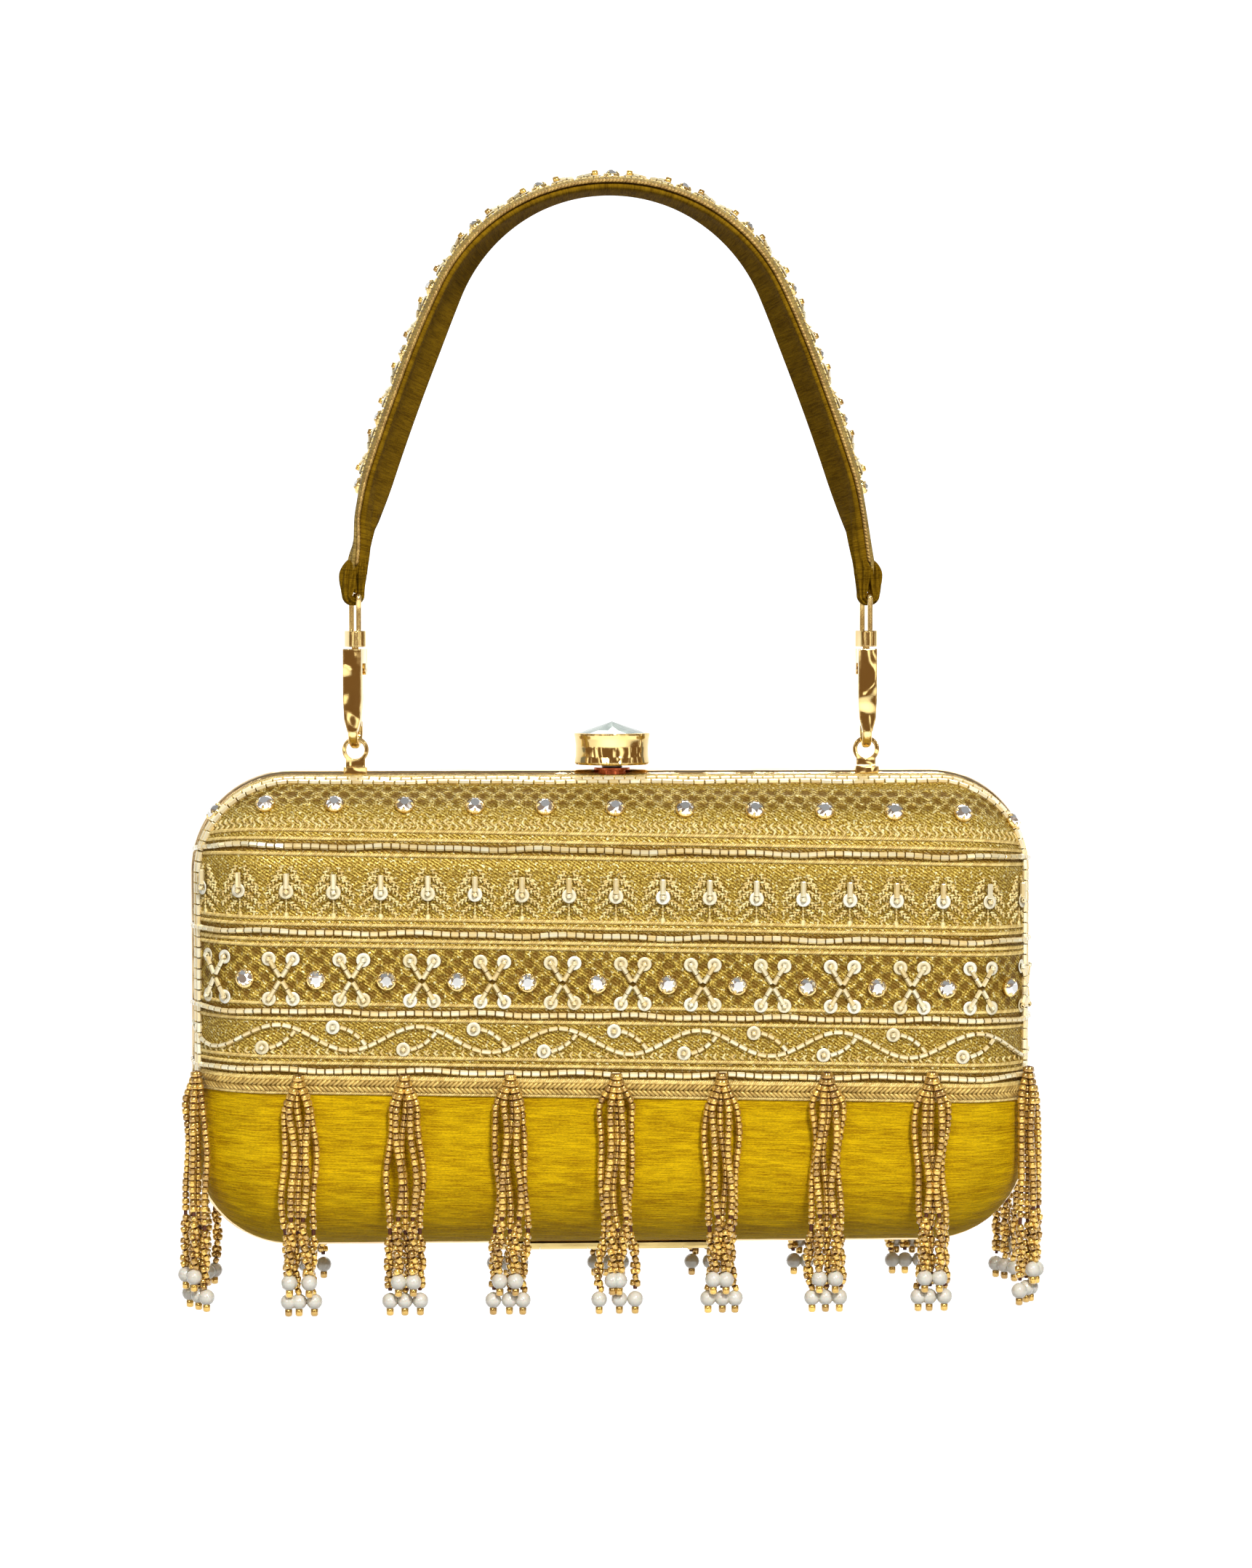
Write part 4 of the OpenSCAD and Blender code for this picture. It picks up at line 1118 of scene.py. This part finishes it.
def strap():
    """Lining, face, seams, stones and bead crosses of the band."""
    silk = band_piece("strap_silk_lining", STRAP_SILK, -LINING_T, 0.05).build(
        "strap", "strap_silk", ["strap_lining"])
    face = band_piece("strap_embroidered_face", STRAP_FACE_PAINTED_SHADE, 0.1, FACE_T).build(
        "strap", "brocade", ["strap_face"])

    seams = Piece("strap_rope_seams", [SEAM, FERN])
    s = np.arange(3, STRAP_LEN - 3, 0.85)
    half = strap_half(s)
    for side in (-1, 1):
        seams.stamp(GRAIN_SHAPE, *strap_frames(s, side * (half - 0.1), side * 0.6, 0.35,
                                               (1.9, 1.0, 1.1)), slot=0)
    rows = np.arange(24, STRAP_LEN - 24, 1.5)
    for a in (-EDGE_ROW, EDGE_ROW):
        for lean in (-0.7, 0.7):
            seams.stamp(GRAIN_SHAPE, *strap_frames(rows, a, lean, FACE_T + 0.1,
                                                   (1.7, 0.7, 0.6)), slot=1)
    seams.build("strap", "gold_braid")

    many = int((STRAP_LEN - 2 * STRAP_MARGIN) // STRAP_PITCH // 2) * 2 + 1
    middle = STRAP_LEN / 2 + (np.arange(many) - (many - 1) / 2) * STRAP_PITCH
    stones = Piece("strap_set_stones", [STONE, GOLD])
    stones.stamp(SETTING_SHAPE, *strap_frames(middle, 0.0, 0.3, FACE_T + 0.12, (1, 1, 1)),
                 low=0.3, high=1.0)
    stones.build("strap", "set_stones", ["strap_stones"])

    work = Piece("strap_bead_work", [SEED, BUGLE, SEQUIN])
    crosses = (middle[:-1] + middle[1:]) / 2
    for sx in (-1, 1):
        for sy in (-1, 1):
            arm = math.atan2(sy * CROSS_Y, sx * CROSS_X)
            for part in (0.35, 0.8):
                work.stamp(BUGLE_SHAPE, *strap_frames(
                    crosses + sx * CROSS_X * part, sy * CROSS_Y * part, arm, FACE_T + 0.9,
                    (2.2, 1.3, 1.3)), slot=1)
            tips, out = crosses + sx * 4.6, sy * 5.0
            work.stamp(SEQUIN_SHAPE, *strap_frames(tips, out, 0.0, FACE_T + 0.3, (3.0, 3.0, 3.0)),
                       slot=2)
            work.stamp(SEED_SHAPE, *strap_frames(tips, out, 0.0, FACE_T + 1.2, (1.5, 1.8, 1.8)),
                       slot=0)
    work.build("strap", "bead_strands")


def strap_end(side):
    """Gathered silk that goes down through the eye and folds up again outside it."""
    sign = -1 if side == "left" else 1
    turn = EYE_TURN[side]
    eye = np.array([sign * LUG_X, 0.0, EYE_TOP_Z])
    outward = np.array([sign * math.cos(turn), sign * math.sin(turn), 0.0])
    wide = np.array([-math.sin(turn), math.cos(turn), 0.0])
    path, width, thick = [], [], []
    for t in np.linspace(0, 1, 24):
        rise = smooth(t / 0.55)
        path.append((-2.2 + 1.1 * rise, 13.0 - 13.0 * t))
        width.append(2.0 + 4.6 * rise - 2.6 * smooth((t - 0.5) / 0.5))
        thick.append(0.5 + 2.3 * rise - 0.9 * smooth((t - 0.6) / 0.4))
    for angle in np.linspace(math.radians(190), math.radians(350), 16)[1:]:
        path.append((1.65 * math.cos(angle) + 0.5, 1.75 * math.sin(angle) + 0.3))
        width.append(4.0)
        thick.append(1.9)
    for t in np.linspace(0, 1, 24)[1:]:
        closing = math.sqrt(1 - 0.9 * max(t - 0.55, 0) ** 2 / 0.2025)
        path.append((2.1 - 0.6 * t, 0.3 + 8.4 * t))
        width.append((4.2 + 2.0 * math.sin(0.6 * math.pi * t)) * closing)
        thick.append((2.1 + 1.2 * math.sin(math.pi * t)) * closing)
    path, width, thick = np.array(path), np.array(width), np.array(thick)
    direction = unit(np.gradient(path, axis=0))
    normal = np.stack([-direction[:, 1], direction[:, 0]], 1)
    many = 72
    round_it = np.linspace(0, 2 * math.pi, many, endpoint=False)
    row = np.arange(len(path))[:, None]
    ripple = 1 + 0.24 * np.cos(7 * round_it[None] + row * 0.06) + (
        0.08 * np.cos(13 * round_it[None] - row * 0.15))
    a = 0.5 * width[:, None] * np.cos(round_it)[None] * ripple
    b = 0.5 * np.maximum(thick, 0.6)[:, None] * np.sin(round_it)[None] * ripple
    flat = path[:, None, :] + b[..., None] * normal[:, None, :]
    points = (eye + flat[..., 0:1] * outward + flat[..., 1:2] * np.array([0, 0, 1.0])
              + a[..., None] * wide)
    gone = travelled(path)
    cloth = np.stack([a * 2.2, np.broadcast_to(gone[:, None], a.shape), b], -1)
    parts = closed_tube(len(path), many)
    if sign < 0:
        parts = [(f[:, ::-1], k, m) for f, k, m in parts]
    piece = Piece(f"strap_gathered_end_{side}", [STRAP_SILK])
    piece.add(points.reshape(-1, 3), parts, None, cloth.reshape(-1, 3))
    obj = piece.build("strap", "strap_silk", [f"strap_tab_{side}"])


# ---------------------------------------------------------------- the clasp's crystal
def crystal():
    """Pointed stone with two tiers of facets in the clasp's cup."""
    low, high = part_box("clasp_crystal")
    centre = np.array([(low[0] + high[0]) / 2, (low[1] + high[1]) / 2, high[2]]) / MM
    radius = (high[0] - low[0]) / 2 / MM
    n = 16
    k = np.arange(n)
    levels = ((0.42, -1.15, 0.0), (0.76, -2.1, 0.5), (1.0, -2.9, 0.0), (1.0, -4.2, 0.0))
    points = np.concatenate([[[0.0, 0.0, 0.0]]] + [ring(radius * share, z, n, offset)
                                                   for share, z, offset in levels])
    a, b, c, d = 1, 1 + n, 1 + 2 * n, 1 + 3 * n
    nxt = (k + 1) % n
    faces3 = np.concatenate([
        np.stack([np.zeros(n, int), a + k, a + nxt], 1),
        np.stack([a + k, b + k, a + nxt], 1),
        np.stack([b + (k - 1) % n, b + k, a + k], 1),
        np.stack([b + k, c + k, c + nxt], 1),
        np.stack([c + k, b + k, b + (k - 1) % n], 1)])
    wall = np.stack([c + k, d + k, d + nxt, c + nxt], 1)
    piece = Piece("faceted_crystal", [CRYSTAL])
    # Painted reflections: a random tint at each point makes the clear crystal's facets light and
    # dark, as if they mirrored the room.
    tint = RANDOM.uniform(0.1, 1.0, len(points))
    piece.add(points + centre, [(faces3, 0, False), (wall, 0, False),
                                ((d + k)[::-1][None], 0, False)], tint)
    piece.build("clasp", "crystal", ["clasp_crystal"])


# ---------------------------------------------------------------- carried-over CAD nodes
def finish_of(node):
    """The material of a CAD node that stays in view."""
    if node == "clasp_base":
        return COPPER
    if "spring" in node:
        return SPRING
    if "pin" in node:
        return STEEL
    if "shell" in node:
        return BOARD
    if "latch" in node or "hinge" in node:
        return LATCH
    if "frame" in node:
        return RIM_GOLD
    return GOLD


for node_name, node_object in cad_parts.items():
    node_object.data.materials.clear()
    node_object.data.materials.append(finish_of(node_name))

for half in ("front", "back"):
    covers(half)
    lining(half)
    embroidery(half)
    set_stones(half)
    braid(half)
    for position in range(1, 10):
        tassel(half, position)
strap()
strap_end("left")
strap_end("right")
crystal()

# ---------------------------------------------------------------- the studio
def stage_sheet(name, points, faces, material):
    """Part of the room, which lights nothing by bouncing light."""
    mesh = bpy.data.meshes.new(name)
    mesh.from_pydata(points, [], faces.tolist())
    mesh.polygons.foreach_set("use_smooth", [True] * len(mesh.polygons))
    mesh.materials.append(material)
    obj = linked(name, mesh)
    obj.visible_diffuse = False
    return obj


def sweep():
    """Floor that curves up into a backdrop, far behind the bag."""
    front_y, back_y, floor_z, top_z, side_x, bend = -3.0, 1.6, -0.42, 3.0, 3.0, 0.6
    line = [(front_y, floor_z)]
    for a in np.linspace(0, math.pi / 2, 16):
        line.append((back_y - bend + bend * math.sin(a), floor_z + bend - bend * math.cos(a)))
    line.append((back_y, top_z))
    g = Graph("studio_paper")
    soft = g.noise(g.place(), 3.0, 2.0)
    paper = g.finish(
        Base_Color=g.blend(soft * 0.06, srgb(252, 252, 251), srgb(232, 232, 230)),
        Roughness=0.9,
        Specular_IOR_Level=0.1,
        Emission_Color=(1.0, 1.0, 1.0, 1.0),
        Emission_Strength=0.62)
    points = [(x, y, z) for y, z in line for x in (-side_x, side_x)]
    stage_sheet("floor", points, grid_faces(len(line), 2), paper)


def reflections():
    """Half-round wall of bright and dark patches that only shows in reflections."""
    radius, low, high = 2.3, -0.41, 2.4
    turn = np.linspace(math.radians(170), math.radians(370), 33)
    points = [(radius * math.cos(a), radius * math.sin(a), z) for z in (low, high) for a in turn]
    g = Graph("reflected_room")
    patches = g.noise(g.stretch(g.place(), (1.0, 1.0, 0.5)), 3.2, 2.0)
    bright = patches.ease(0.55, 0.60)
    room = g.finish(
        Base_Color=srgb(46, 22, 8),
        Roughness=0.8,
        Emission_Color=g.blend(bright, srgb(158, 122, 76), srgb(255, 253, 246)),
        Emission_Strength=bright * 1.5 + 0.5)
    wall = stage_sheet("reflections", points, grid_faces(2, len(turn)), room)
    wall.visible_camera = False
    wall.visible_shadow = False


AIM = Vector((0, 0, -0.2))
# Lamps: place in metres, width and height in metres, watts
LAMPS = {
    "key": ((0.3, -1.5, 1.0), (0.3, 0.3), 29),
    "fill": ((-0.8, -1.6, 0.5), (0.5, 0.5), 5),
    "sparkle_left": ((-0.35, -1.6, 0.35), (0.1, 0.1), 2),
    "sparkle_right": ((0.75, -1.5, 0.25), (0.1, 0.1), 2),
    "back_light": ((0.2, 1.2, 1.2), (1.2, 0.6), 8),
}
WORLD_GLOW = 0.26


def lamp(name, at, size, power):
    data = bpy.data.lights.new(name, "AREA")
    data.shape = "RECTANGLE"
    data.size, data.size_y = size
    data.energy = power
    obj = linked(name, data)
    obj.location = at
    obj.rotation_mode = "QUATERNION"
    obj.rotation_quaternion = (AIM - Vector(at)).to_track_quat("-Z", "Y")


sweep()
reflections()
for lamp_name, lamp_facts in LAMPS.items():
    lamp(lamp_name, *lamp_facts)

world = bpy.data.worlds.new("studio")
world.use_nodes = True
world.node_tree.nodes["Background"].inputs["Color"].default_value = (1.0, 1.0, 1.0, 1.0)
world.node_tree.nodes["Background"].inputs["Strength"].default_value = WORLD_GLOW
bpy.context.scene.world = world
bpy.context.scene.view_settings.view_transform = "Standard"
